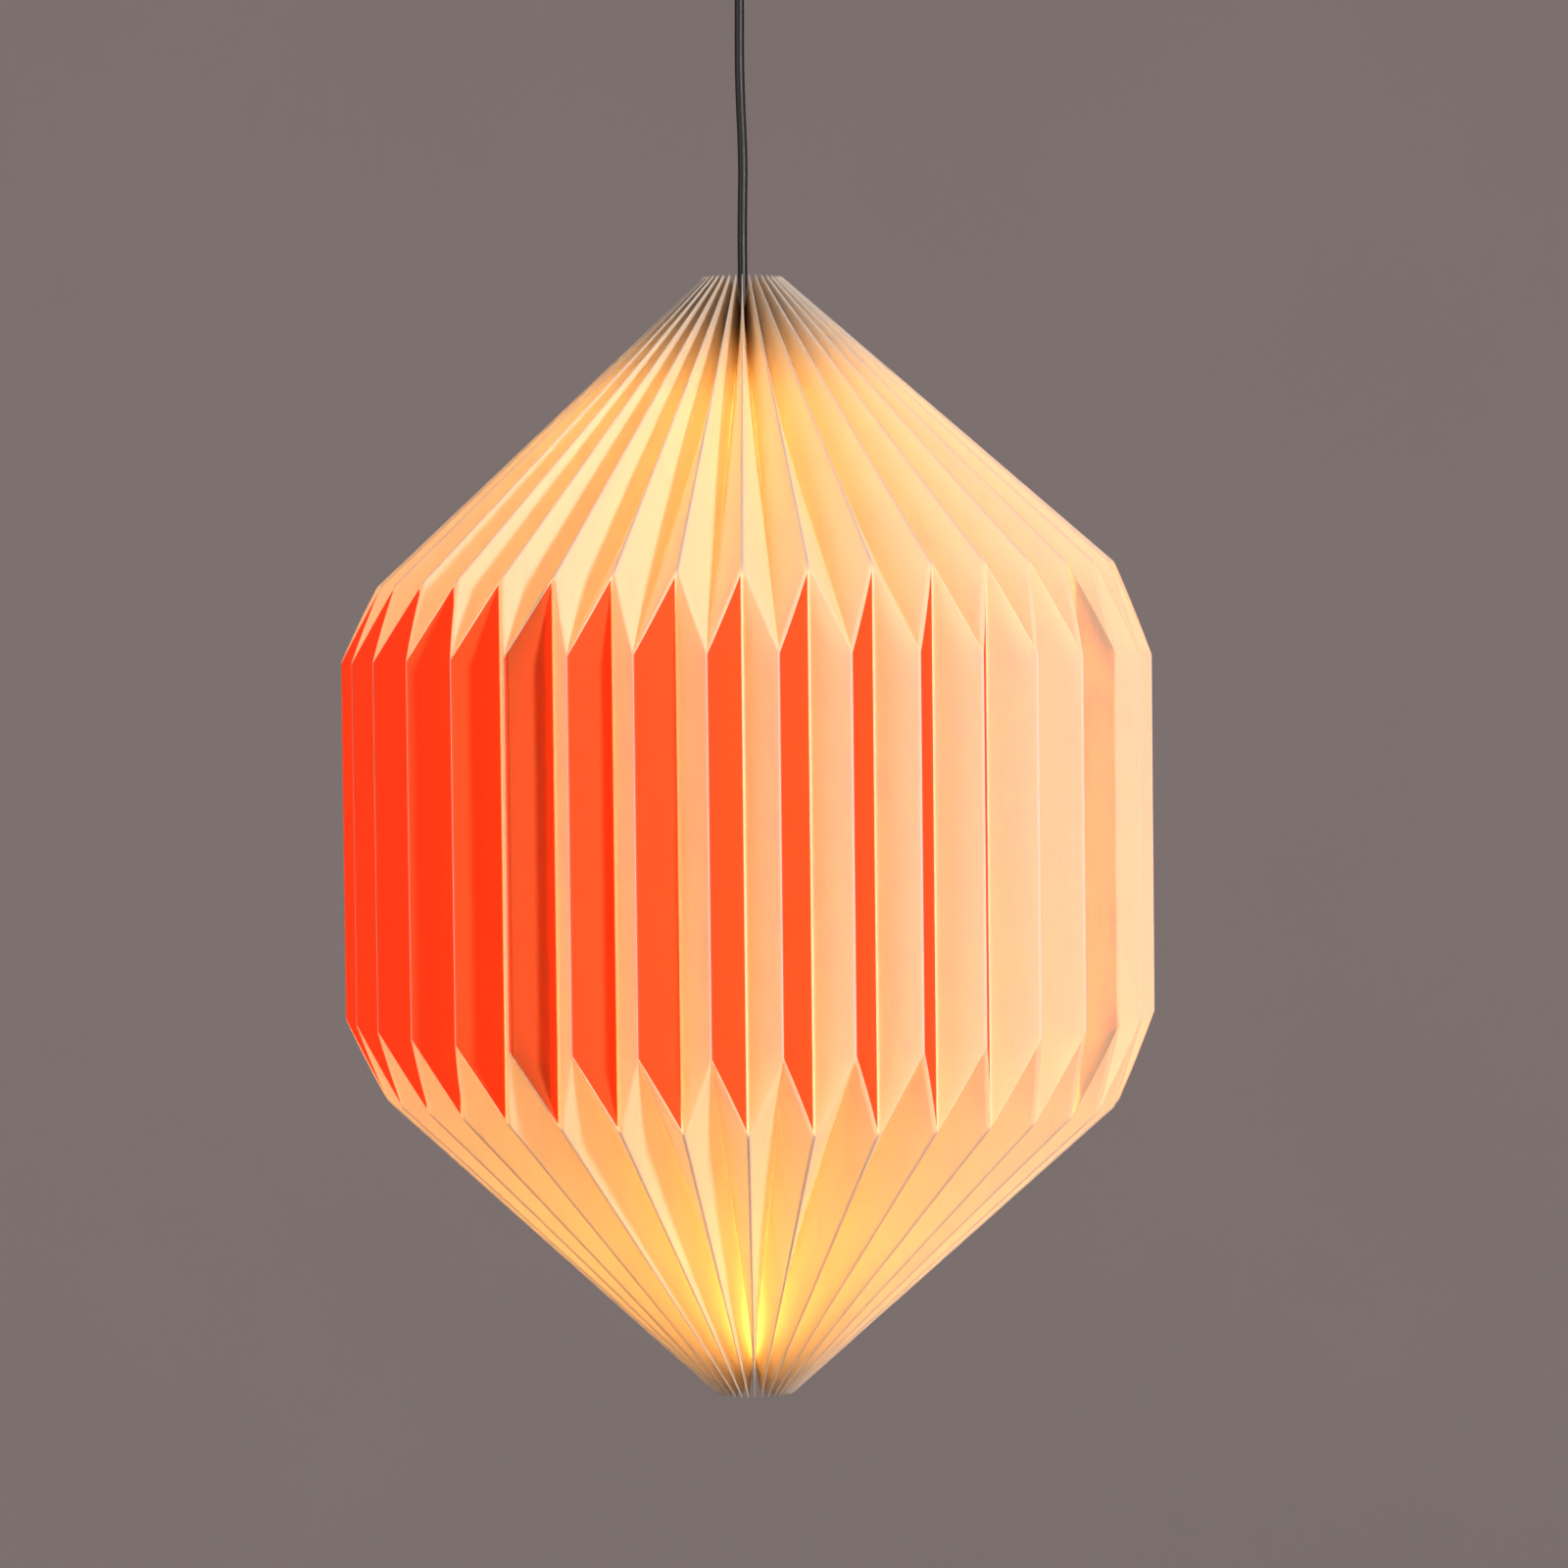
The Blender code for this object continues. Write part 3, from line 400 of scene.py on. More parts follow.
# Paper that light passes through. Its fibres run with the pleats, and proud folds let less light through
def paper(name, values, paperTones):
    material, tree, output = newMaterial(name)
    place = addNode(tree, "ShaderNodeAttribute", attribute_name="sheetPlace").outputs["Vector"]
    fold = Field(tree, addNode(tree, "ShaderNodeAttribute", attribute_name="fold").outputs["Fac"])
    streaks = noiseOn(tree, place, 1.0, 3.0, (values["streaks"], values["streaks"] / 30, 1.0))
    clouds = noiseOn(tree, place, values["clouds"], 5.0)
    fibres = noiseOn(tree, place, values["fibres"], 4.0)
    proud = fold.put("MAXIMUM", 0.0)
    sunk = (fold * -1.0).put("MAXIMUM", 0.0)
    thinness = rangeOf(tree, clouds * 0.6 + streaks * 0.4, 0.90, 1.08)
    faceShade = rangeOf(tree, clouds * 0.5 + streaks * 0.5, 0.0, 1.0)
    face = mixed(tree, faceShade, tone(*paperTones["face"]), tone(*paperTones["faceDark"]))
    # proud folds are mixed towards a lighter colour: a painted highlight along the fold edges
    face = mixed(tree, proud * paperTones["foldHighlightShare"], face, tone(*paperTones["foldHighlight"]))
    # the cone ridges are mixed towards a dark brown: painted shade along the creases
    ridge = Field(tree, addNode(tree, "ShaderNodeAttribute", attribute_name="ridge").outputs["Fac"])
    face = mixed(tree, ridge * values["ridgeShade"], face, tone(*paperTones["creaseShade"]))
    through = mixed(tree, thinness, tone(0, 0, 0), tone(*paperTones["through"]))
    through = mixed(tree, sunk * values["foldTint"], through, tone(*paperTones["throughFold"]))
    bump = addNode(tree, "ShaderNodeBump", {"Height": fibres + streaks, "Distance": 0.00004, "Strength": 0.5})
    front = addNode(tree, "ShaderNodeBsdfPrincipled", {
        "Base Color": face,
        "Roughness": rangeOf(tree, fibres, 0.62, 0.85),
        "Specular IOR Level": 0.35,
        "Normal": bump.outputs[0],
    })
    back = addNode(tree, "ShaderNodeBsdfTranslucent", {"Color": through, "Normal": bump.outputs[0]})
    doubled = Field(tree, addNode(tree, "ShaderNodeAttribute", attribute_name="doubled").outputs["Fac"])
    share = values["passes"] * (1.0 - proud * values["foldLoss"]) * (1.0 - ridge * values["ridgeLoss"])
    share = share + doubled * values["doubledMore"]
    mix = addNode(tree, "ShaderNodeMixShader", {1: front.outputs[0], 2: back.outputs[0]})
    join(tree, share, mix.inputs[0])
    tree.links.new(mix.outputs[0], output.inputs[0])
    return material


paperValues = {
    "streaks": 1400.0, "clouds": 90.0, "fibres": 2500.0,  # how fine each is
    "passes": 0.50, "foldLoss": 0.5, "ridgeLoss": 0.3, "doubledMore": 0.22,  # light through it
    # the first share here sets how much painted shade darkens the cone ridges
    "ridgeShade": 0.45, "foldTint": 0.35,
}
# In each paper below, the lighter fold colour is a painted highlight on proud folds, and the dark brown ridge colour
# is painted shade on the cone ridges.
creamPaper = paper("creamPaper", paperValues, {
    "face": (0.93, 0.83, 0.73), "faceDark": (0.89, 0.78, 0.67), "foldHighlight": (0.95, 0.90, 0.84), "foldHighlightShare": 0.6,
    "creaseShade": (0.46, 0.36, 0.29), "through": (0.98, 0.86, 0.62), "throughFold": (1.0, 0.90, 0.66),
})
redPaper = paper("redPaper", paperValues, {
    "face": (0.90, 0.185, 0.034), "faceDark": (0.86, 0.165, 0.028), "foldHighlight": (0.93, 0.36, 0.26), "foldHighlightShare": 0.25,
    "creaseShade": (0.60, 0.20, 0.12), "through": (0.98, 0.12, 0.008), "throughFold": (0.98, 0.20, 0.02),
})

shadeValues = {
    "Pleats": 38.0,
    "Panel Width": 0.0243,
    "Shoulder Radius": 0.2010,
    "Fin Radius": 0.0194,
    "Half Band": 0.09025,
    "Corner Rise": 0.0395,  # the inner creases' corners, beyond those of the outer ones
    "Cone Rise": 0.1479,
    "Fold Width": 0.0003,
    "Seam Turn": radians(-33.2),
    "Bow": 0.0004,
    "Uneven": 0.0004,  # how far a fold strays
    "Seed": 7,
}
thickness = 0.0002


# Radius of the band's inner creases, and the crease lengths in a cone, from the panel's width
def shadeSizes(values):
    half = pi / values["Pleats"]
    out, width = values["Shoulder Radius"], values["Panel Width"]
    waist = out * cos(half) - sqrt(width**2 - (out * sin(half)) ** 2)
    finLength = sqrt(values["Cone Rise"] ** 2 + (waist - values["Fin Radius"]) ** 2)
    valleyLength = finLength + values["Corner Rise"]
    finHeight = values["Half Band"] + values["Corner Rise"] + values["Cone Rise"]
    low, high = 0.0005, values["Fin Radius"]
    for _ in range(50):  # the valley's tip is one panel's width from the fin's
        radius = (low + high) / 2
        height = values["Half Band"] + sqrt(valleyLength**2 - (out - radius) ** 2)
        flat = (radius - values["Fin Radius"] * cos(half)) ** 2 + (values["Fin Radius"] * sin(half)) ** 2
        if sqrt(flat + (finHeight - height) ** 2) > width:
            low = radius
        else:
            high = radius
    sizes = {"Waist Radius": waist, "Fin Height": finHeight, "Valley Radius": radius, "Valley Height": height}
    return sizes, 2 * valleyLength + 2 * values["Half Band"]


shadeMade, sheetHeight = shadeSizes(shadeValues)

# Rows of a cone, as shares of its creases, and columns of a panel, as shares of its width from the outer crease
conePlaces = [0.0, 0.008, 0.015, 0.034, 0.07, 0.115, 0.17, 0.235, 0.30, 0.347, 0.362, 0.42, 0.49, 0.56, 0.63]
conePlaces += [0.70, 0.765, 0.825, 0.875, 0.92, 0.955, 0.982, 1.0]
panelPlaces = [0.0, 0.045, 0.148, 0.222, 0.45, 0.70, 0.945, 1.0]
coneRows = len(conePlaces) - 1
bandRows = 12
lastRow = 2 * coneRows + bandRows + 1
panelColumns = len(panelPlaces)


# The place that belongs to a whole number, from a list of rising places
def placeAt(number, places):
    total = number * 0.0
    for k, (low, high) in enumerate(zip(places, places[1:])):
        total = total + number.put("SUBTRACT", float(k), clamp=True) * (high - low)
    return total


def pleatTree():
    numbers = [*shadeValues, *shadeMade, "Middle", "First Panel", "Panels", "Is Flap"]
    inputs = {name: "Int" if name in ("Seed", "Panels") else "Float" for name in numbers}
    tree, given, output = newTree("pleatedSheet", {**inputs, "Cream": "Material", "Red": "Material"})
    grid = addNode(tree, "GeometryNodeMeshGrid", {
        "Vertices X": given["Panels"] * float(panelColumns), "Vertices Y": lastRow + 1,
    })
    index = Field(tree, addNode(tree, "GeometryNodeInputIndex").outputs[0])
    column = ((index + 0.5) / (lastRow + 1.0)).put("FLOOR")
    row = float(lastRow) - (index - column * (lastRow + 1.0))

    # which panel, and how far across it from its outer crease
    def panelParts(column):
        order = ((column + 0.5) / float(panelColumns)).put("FLOOR")
        within = column - order * float(panelColumns)
        panel = order + given["First Panel"]
        isEven = 1.0 - (panel + 0.25).put("MODULO", 2.0).put("FLOOR")
        isEnd = order.isAt(0.0) + order.isAt(given["Panels"] - 1.0)
        return panel, within, isEven, isEnd

    panel, within, isEven, isEnd = panelParts(column)
    across = placeAt(isEven * within + (1.0 - isEven) * (panelColumns - 1.0 - within), panelPlaces)
    upper = placeAt(row, conePlaces)
    lower = placeAt(float(lastRow) - row, conePlaces)
    band = ((row - coneRows - 0.97) / (bandRows - 0.94)).put("MAXIMUM", 0.0).put("MINIMUM", 1.0)
    cone = upper.put("MINIMUM", lower)

    # a covering sheet stops short of the seam's outer crease; a flap runs on behind it, trimmed near both ends
    trim = (cone * 20.0 - 6.9).put("MAXIMUM", 0.033).put("MINIMUM", 1.0)
    seamAcross = given["Is Flap"] * (across * 0.835 * trim) + (1.0 - given["Is Flap"]) * (0.062 + across * 0.938)
    across = across + isEnd * (seamAcross - across)

    # a crease's point at this row: its fold's flat has two edges, side -1 and 1
    def creasePoint(crease, isOuter, side):
        name = crease.put("ROUND").put("FLOORED_MODULO", 2.0 * shadeValues["Pleats"])
        stray = []
        for shift in (0.0, 200.0):
            node = addNode(tree, "FunctionNodeRandomValue", data_type="FLOAT")
            join(tree, -1.0, node.inputs[2])
            join(tree, name + shift, node.inputs["ID"])
            join(tree, given["Seed"], node.inputs["Seed"])
            stray.append(Field(tree, node.outputs[1]) * given["Uneven"])
        turn = given["Seam Turn"] + crease * pi / given["Pleats"]
        front, aside = turn.put("COSINE"), turn.put("SINE")
        if isOuter:
            tipRadius, cornerRadius = given["Valley Radius"], given["Shoulder Radius"]
            tipHeight, cornerHeight = given["Valley Height"], given["Half Band"]
            upShift, lowShift = front * front * 0.0039 - 0.0015, front * front * -0.0062 + 0.0045
        else:
            tipRadius, cornerRadius = given["Fin Radius"], given["Waist Radius"]
            tipHeight, cornerHeight = given["Fin Height"], given["Half Band"] + given["Corner Rise"]
            upShift, lowShift = aside * 0.0043 + 0.0008, aside * -0.0034 + 0.0010
        radius = tipRadius + (cornerRadius - tipRadius) * cone + stray[0] * cone
        drop = (tipHeight - cornerHeight) * (upper + 1.0 - lower) + cornerHeight * 2.0 * band
        height = given["Middle"] + tipHeight - drop + upShift * upper * (1.0 - band) + lowShift * lower * band
        aslant = side * given["Fold Width"] * 0.5 + stray[1] * (cone * 0.7 + 0.3)
        return addNode(tree, "ShaderNodeCombineXYZ", {
            0: aside * radius + front * aslant, 1: aside * aslant - front * radius, 2: height,
        }).outputs[0]

    side = isEven * 2.0 - 1.0
    outer = creasePoint(panel + (1.0 - isEven), True, side)
    inner = creasePoint(panel + isEven, False, side * -1.0)
    blendNode = addNode(tree, "ShaderNodeMix", data_type="VECTOR")
    join(tree, across, blendNode.inputs[0])
    join(tree, outer, blendNode.inputs[4])
    join(tree, inner, blendNode.inputs[5])
    feeds = {"Geometry": grid.outputs[0], "Position": blendNode.outputs[1]}
    placed = addNode(tree, "GeometryNodeSetPosition", feeds)

    # a light bow in every panel, and the flap's place behind its cover
    normal = addNode(tree, "GeometryNodeInputNormal").outputs[0]
    behind = isEnd * given["Is Flap"] * (across * 8.0).put("MINIMUM", 1.0) * -0.0007
    push = given["Bow"] * (across * (1.0 - across) * 4.0) * cone + behind
    lift = addNode(tree, "ShaderNodeVectorMath", {0: normal}, operation="SCALE")
    join(tree, push, lift.inputs["Scale"])
    bent = addNode(tree, "GeometryNodeSetPosition", {"Geometry": placed.outputs[0], "Offset": lift.outputs[0]})

    # kept for the faces and the finish
    def keep(geometry, name, kind, value):
        node = addNode(tree, "GeometryNodeStoreNamedAttribute", data_type=kind, domain="POINT")
        join(tree, geometry, node.inputs["Geometry"])
        join(tree, name, node.inputs["Name"])
        join(tree, value, node.inputs["Value"])
        return node.outputs[0]

    isFold = (across * (1.0 - across)).isUnder(0.001)
    isBand = band.isOver(0.0) * (1.0 - band).isOver(0.0)
    isOuterFold = across.isUnder(0.5)
    fold = isFold * (isOuterFold * 2.0 - 1.0) * (isBand * 2.0 - 1.0)
    flatPlace = addNode(tree, "ShaderNodeCombineXYZ", {
        0: (panel + isEven * across + (1.0 - isEven) * (1.0 - across)) * given["Panel Width"],
        1: (row / float(lastRow)) * sheetHeight,
        2: panel * 0.37,
    })
    kept = keep(bent.outputs[0], "sheetPlace", "FLOAT_VECTOR", flatPlace.outputs[0])
    kept = keep(kept, "fold", "FLOAT", fold)
    kept = keep(kept, "ridge", "FLOAT", isFold * (1.0 - isOuterFold) * (1.0 - isBand))
    seamNumber = (panel + 0.5).put("FLOORED_MODULO", 2.0 * shadeValues["Pleats"])
    isOpen = trim.isOver(0.5) * seamNumber.isOver(1.0)  # the first seam stays as thick as it is
    kept = keep(kept, "doubled", "FLOAT", isEnd * isOpen)
    kept = keep(kept, "column", "FLOAT", column)
    kept = keep(kept, "row", "FLOAT", row)

    # faces: holes for the thread, and the dyed ones in the band
    def faceNumber(name):
        node = addNode(tree, "GeometryNodeInputNamedAttribute", {"Name": name}, data_type="FLOAT")
        return Field(tree, node.outputs[0]).put("FLOOR")

    faceColumn, faceRow = faceNumber("column"), faceNumber("row")
    facePanel, faceWithin, faceEven, faceEnd = panelParts(faceColumn)
    fromOuter = faceEven * faceWithin + (1.0 - faceEven) * (panelColumns - 2.0 - faceWithin)
    isHole = fromOuter.isAt(2.0) * (faceRow.isAt(1.0) + faceRow.isAt(lastRow - 2.0))
    isHole = isHole * (1.0 - faceEnd * given["Is Flap"]) * faceWithin.isUnder(panelColumns - 1.5)
    cut = addNode(tree, "GeometryNodeDeleteGeometry", {"Geometry": kept}, domain="FACE")
    join(tree, isHole, cut.inputs["Selection"])
    inBand = faceRow.isOver(coneRows + 0.5) * faceRow.isUnder(coneRows + bandRows - 0.5)
    isDyed = faceEven * inBand * fromOuter.isUnder(5.5) * faceWithin.isUnder(panelColumns - 1.5)
    painted = cut.outputs[0]
    for label, chosen in (("Cream", None), ("Red", isDyed)):
        node = addNode(tree, "GeometryNodeSetMaterial", {"Geometry": painted})
        join(tree, given[label], node.inputs["Material"])
        if chosen is not None:
            join(tree, chosen, node.inputs["Selection"])
        painted = node.outputs[0]
    smooth = addNode(tree, "GeometryNodeSetShadeSmooth", {"Geometry": painted})
    real = addNode(tree, "GeometryNodeRealizeInstances", {"Geometry": smooth.outputs[0]})
    join(tree, real.outputs[0], output.inputs[0])
    return tree


pleats = pleatTree()
sheetCount = 4
panelsEach = int(2 * shadeValues["Pleats"]) // sheetCount
for k in range(sheetCount):
    values = {
        **shadeValues, **shadeMade, "Middle": shadeMiddle, "First Panel": float(k * panelsEach),
        "Panels": panelsEach + 1, "Is Flap": float(k % 2), "Cream": creamPaper, "Red": redPaper,
    }
    sheet = grow(f"paperSheet{k + 1}", pleats, values)
    sheet.data.set_sharp_from_angle(angle=radians(180))
    wall = sheet.modifiers.new("thickness", "SOLIDIFY")
    wall.thickness, wall.offset = thickness, 0.0
    own(sheet, "shade", "cream_paper", f"paper_sheet_{k + 1}")


# What repeats round the lamp

def ringTree():
    tree, given, output = newTree("copiesRound", {"Count": "Int", "Finish": "Material"})
    line = addNode(tree, "GeometryNodeMeshLine", {"Count": given["Count"], "Offset": (0, 0, 0)})
    index = Field(tree, addNode(tree, "GeometryNodeInputIndex").outputs[0])
    turn = addNode(tree, "ShaderNodeCombineXYZ", {2: index * 2 * pi / given["Count"]})
    source = next(node for node in tree.nodes if node.bl_idname == "NodeGroupInput")
    feeds = {"Points": line.outputs[0], "Instance": source.outputs[0]}
    copies = addNode(tree, "GeometryNodeInstanceOnPoints", feeds)
    join(tree, turn.outputs[0], copies.inputs["Rotation"])
    real = addNode(tree, "GeometryNodeRealizeInstances", {"Geometry": copies.outputs[0]})
    finished = addNode(tree, "GeometryNodeSetMaterial", {"Geometry": real.outputs[0]})
    join(tree, given["Finish"], finished.inputs["Material"])
    join(tree, finished.outputs[0], output.inputs[0])
    return tree


copiesRound = ringTree()


def ringOf(name, mesh, count, finish, body, slot, *nodes):
    return own(grow(name, copiesRound, {"Count": count, "Finish": finish}, mesh), body, slot, *nodes)


# A rounded rib standing on a drum of that radius, on its +X side
def ribMesh(radius, low, high, width, depth):
    bm = bmesh.new()
    outline = [(-0.5, -0.5), (-0.35, 0.55), (0.0, 1.0), (0.35, 0.55), (0.5, -0.5)]
    levels = [(low, 0.3), (low + depth, 1.0), (high - depth, 1.0), (high, 0.3)]
    rings = []
    for z, grown in levels:
        rings.append([bm.verts.new((radius + y * depth * grown, x * width, z)) for x, y in outline])
    for lowRing, highRing in zip(rings, rings[1:]):
        for k in range(len(outline)):
            n = (k + 1) % len(outline)
            bm.faces.new((lowRing[k], lowRing[n], highRing[n], highRing[k]))
    bm.faces.new(rings[0])
    bm.faces.new(rings[-1])
    return meshFrom("rib", bm, 60.0)


# A slotted screw's mesh: a domed head with a cut across it, and its shank, along +Z from the shank's end
def screwMesh(values, shankLength):
    headRadius, headHeight = values["headRadius"], values["headHeight"]
    shankRadius, slotWidth = values["shankRadius"], values["slotWidth"]
    outline = softOutline([
        (0.0, 0.0, 0), (shankRadius * 0.8, 0.0, 0.0002), (shankRadius, 0.0006, 0.0002),
        (shankRadius, shankLength, 0), (headRadius, shankLength, 0.0002),
        (headRadius, shankLength + headHeight * 0.45, headHeight * 0.5),
        (headRadius * 0.55, shankLength + headHeight, headHeight * 0.5), (0.0, shankLength + headHeight, 0),
    ])
    body = show("screwBody", lathe("screwBody", outline, 40, isClosed=False))
    bm = bmesh.new()
    bmesh.ops.create_cube(bm, size=1.0)
    bmesh.ops.scale(bm, vec=(headRadius * 3, slotWidth, headHeight), verts=bm.verts)
    bmesh.ops.translate(bm, vec=(0, 0, shankLength + headHeight), verts=bm.verts)
    knife = show("screwKnife", meshFrom("screwKnife", bm))
    slot = body.modifiers.new("slot", "BOOLEAN")
    slot.operation, slot.object = "DIFFERENCE", knife
    found = bpy.context.evaluated_depsgraph_get()
    mesh = bpy.data.meshes.new_from_object(body.evaluated_get(found), depsgraph=found)
    for spare in (body, knife):
        bpy.data.objects.remove(spare)
    return mesh


# Ceiling cup, its screws and the cord grip

print("ceiling cup")
cupPaint = surface("cupPaint", (0.018, 0.018, 0.019), (0.026, 0.025, 0.025), 0.38, 0.0, 55.0, 0.00002, coat=0.15)
blackPlastic = surface("blackPlastic", (0.022, 0.022, 0.023), (0.034, 0.033, 0.033), 0.48, 0.0, 70.0, 0.00003)
whitePlastic = surface("whitePlastic", (0.78, 0.77, 0.73), (0.70, 0.69, 0.65), 0.42, 0.0, 80.0)
zincSteel = surface("zincSteel", (0.60, 0.60, 0.58), (0.46, 0.47, 0.47), 0.34, 1.0, 220.0, 0.00004, (1, 0.2, 1))
nickel = surface("nickel", (0.72, 0.70, 0.66), (0.62, 0.60, 0.57), 0.24, 1.0, 120.0, 0.00001)
brass = surface("brass", (0.80, 0.58, 0.26), (0.62, 0.42, 0.17), 0.30, 1.0, 120.0, 0.00001)
cupValues = {
    "radius": 0.0500, "wall": 0.0012, "rim": -0.0005, "floor": -0.0285, "corner": 0.0060, "hole": 0.0051,
    "rimEdge": 0.0002, "rimRise": 0.0001, "holeEdge": 0.0003,
}
cupScrewValues = {
    "headRadius": 0.0036, "headHeight": 0.0022, "shankRadius": 0.0018, "slotWidth": 0.0009, "gap": 0.0003,
}


def cupOutline(v):
    inside, shelf = v["radius"] - v["wall"], v["floor"] + v["wall"]
    crown = v["rim"] + v["rimRise"]
    return softOutline([
        (v["hole"], shelf, 0), (inside, shelf, v["corner"] - v["wall"]), (inside, v["rim"], 0),
        (inside + v["rimEdge"], crown, 0), (v["radius"] - v["rimEdge"], crown, 0), (v["radius"], v["rim"], 0),
        (v["radius"], v["floor"], v["corner"]), (v["hole"] + v["holeEdge"], v["floor"], 0),
        (v["hole"], v["floor"] + v["holeEdge"], 0),
    ], 8)


cupMesh = lathe("ceilingCup", cupOutline(cupValues), 160)
own(show("ceilingCup", cupMesh, cupPaint), "cup", "cup_paint", "ceiling_cup")
screwLow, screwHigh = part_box("cup_screw_right")
screwPlace = Matrix.Translation((0, 0, (screwLow.z + screwHigh.z) / 2)) @ Matrix.Rotation(pi / 2, 4, "Y")
cupScrew = screwMesh(cupScrewValues, cupValues["radius"] + cupScrewValues["gap"] - screwLow.x)
cupScrew.transform(screwPlace @ Matrix.Translation((0, 0, screwLow.x)))
ringOf("cupScrews", cupScrew, 2, nickel, "cup", "nickel", "cup_screw_left", "cup_screw_right")

gripValues = {
    "bore": 0.0027, "radius": 0.0060, "mouth": -0.0458, "mouthEdge": 0.0006, "top": -0.0288,
    "flange": 0.0075, "flangeHeight": 0.0020, "neck": 0.0070,
    "thread": 0.0048, "threadDepth": 0.00035, "threadLength": 0.0066,
    "ribs": 28, "ribLow": -0.0436, "ribHigh": -0.0412, "ribWidth": 0.0006, "ribDepth": 0.00035,
}
gripScrewValues = {
    "headRadius": 0.0026, "headHeight": 0.0018, "shankRadius": 0.0014, "slotWidth": 0.0007, "shankLength": 0.0036,
}


def gripOutline(v):
    rings = []
    for k in range(12):  # the thread that the nut runs on
        height = v["top"] + 0.0002 + v["threadLength"] * k / 11
        rings.append((v["thread"] - (v["threadDepth"] if k % 2 else 0.0), height, 0))
    flangeLow = v["top"] - v["flangeHeight"]
    return softOutline([
        (v["bore"], v["mouth"] + v["mouthEdge"], 0), (v["bore"] + v["mouthEdge"], v["mouth"], 0.0003),
        (v["radius"] - 0.0004, v["mouth"], 0.0008), (v["radius"], v["mouth"] + 0.0016, 0.0006),
        (v["radius"], flangeLow, 0.0003), (v["flange"], flangeLow, 0.0004), (v["flange"], v["top"], 0.0003),
        *rings, (v["bore"], v["top"] + v["neck"], 0),
    ], 5)


gripMesh = lathe("cordGrip", gripOutline(gripValues), 96)
own(show("cordGrip", gripMesh, blackPlastic), "cup", "black_plastic", "cord_grip")
gripRib = ribMesh(*(gripValues[part] for part in ("radius", "ribLow", "ribHigh", "ribWidth", "ribDepth")))
ringOf("gripRibs", gripRib, gripValues["ribs"], blackPlastic, "cup", "black_plastic")
gripScrewLow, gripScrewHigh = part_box("grip_screw")
gripScrew = screwMesh(gripScrewValues, gripScrewValues["shankLength"])
gripScrew.transform(
    Matrix.Translation((0, gripScrewHigh.y, (gripScrewLow.z + gripScrewHigh.z) / 2)) @ Matrix.Rotation(pi / 2, 4, "X")
)
own(show("gripScrew", gripScrew, nickel), "cup", "black_plastic", "grip_screw")
softened("gripNut", "grip_nut", 0.0003, nickel, "cup", "nickel")
softened("ceilingBracket", "ceiling_bracket", 0.0003, zincSteel, "ceiling", "zinc_steel")
softened("terminalBlock", "terminal_block", 0.0005, whitePlastic, "ceiling", "white_plastic")
brownCore = surface("brownCore", (0.19, 0.065, 0.025), (0.15, 0.050, 0.020), 0.42)
blueCore = surface("blueCore", (0.035, 0.11, 0.42), (0.028, 0.09, 0.34), 0.42)
for side, name, finish in ((-1, "live", brownCore), (1, "neutral", blueCore)):
    near, far = side * 0.0010, side * 0.0040
    route = [(0, near, -0.0215), (0, near, -0.0196), (0.0034, (near + far) / 2, -0.0084), (0.0080, far, -0.0069)]
    route += [(0.0140, far, -0.0069), (0.0200, far, -0.0069)]
    core = show(name + "Core", tube(name, smoothLine(route, 0.0006), 0.0008), finish)
    "brown_core" if side < 0 else "blue_core"
    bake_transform(core)
    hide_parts(name + "_core")

# Lampholder

print("lampholder")
holderValues = {
    "radius": 0.0200, "wall": 0.0018, "top": -0.2153, "bore": 0.0027, "thread": 0.0048, "collar": 0.0062,
    "capHole": 0.0051, "capDrop": 0.0043, "shoulderDrop": 0.0105, "skirt": 0.0130, "gap": 0.0003,
    "tongue": (0.0161, 0.0179), "groove": 0.0195, "lip": 0.0142,
    "ribs": 44, "ribLow": 0.0360, "ribHigh": 0.0170, "ribWidth": 0.0012, "ribDepth": 0.0004,
}
shellValues = {"radius": 0.0135, "wall": 0.0004, "threadDepth": -0.0003, "hole": 0.0053, "lid": 0.0126}
pitch = 0.0036  # of the bulb's thread and its shell's


# A sleeve whose wall is rolled into a round thread, from its upper to its lower edge
def threadedSleeve(name, inner, wall, depth, pitch, top, low, lids=(), steps=72):
    rows = max(24, int((top - low) / pitch * 12))
    bm = bmesh.new()

    def ring(share, outward):
        height = top + (low - top) * share
        fade = min(1.0, share * 6, (1 - share) * 6)
        points = []
        for k in range(steps):
            angle = k / steps * 2 * pi
            wave = 0.5 - 0.5 * cos(2 * pi * (top - height) / pitch - angle)
            radius = inner + outward - depth * wave * fade
            points.append(bm.verts.new((radius * cos(angle), radius * sin(angle), height)))
        return points

    outside = [ring(k / rows, wall) for k in range(rows + 1)]
    inside = [ring(k / rows, 0.0) for k in range(rows, -1, -1)]
    loops = outside + inside
    for radius, height in lids:  # a lid that closes the upper edge towards the axis
        loops.append([bm.verts.new((radius * cos(k / steps * 2 * pi), radius * sin(k / steps * 2 * pi), height))
                      for k in range(steps)])
    for lowRing, highRing in zip(loops, loops[1:] + loops[:1]):
        for k in range(steps):
            bm.faces.new((lowRing[k], lowRing[(k + 1) % steps], highRing[(k + 1) % steps], highRing[k]))
    return meshFrom(name, bm, 60.0)


def holderPiece(name, points, finish, slot, node, body="holder"):
    return own(show(name, lathe(name, softOutline(points), 96), finish), body, slot, node)


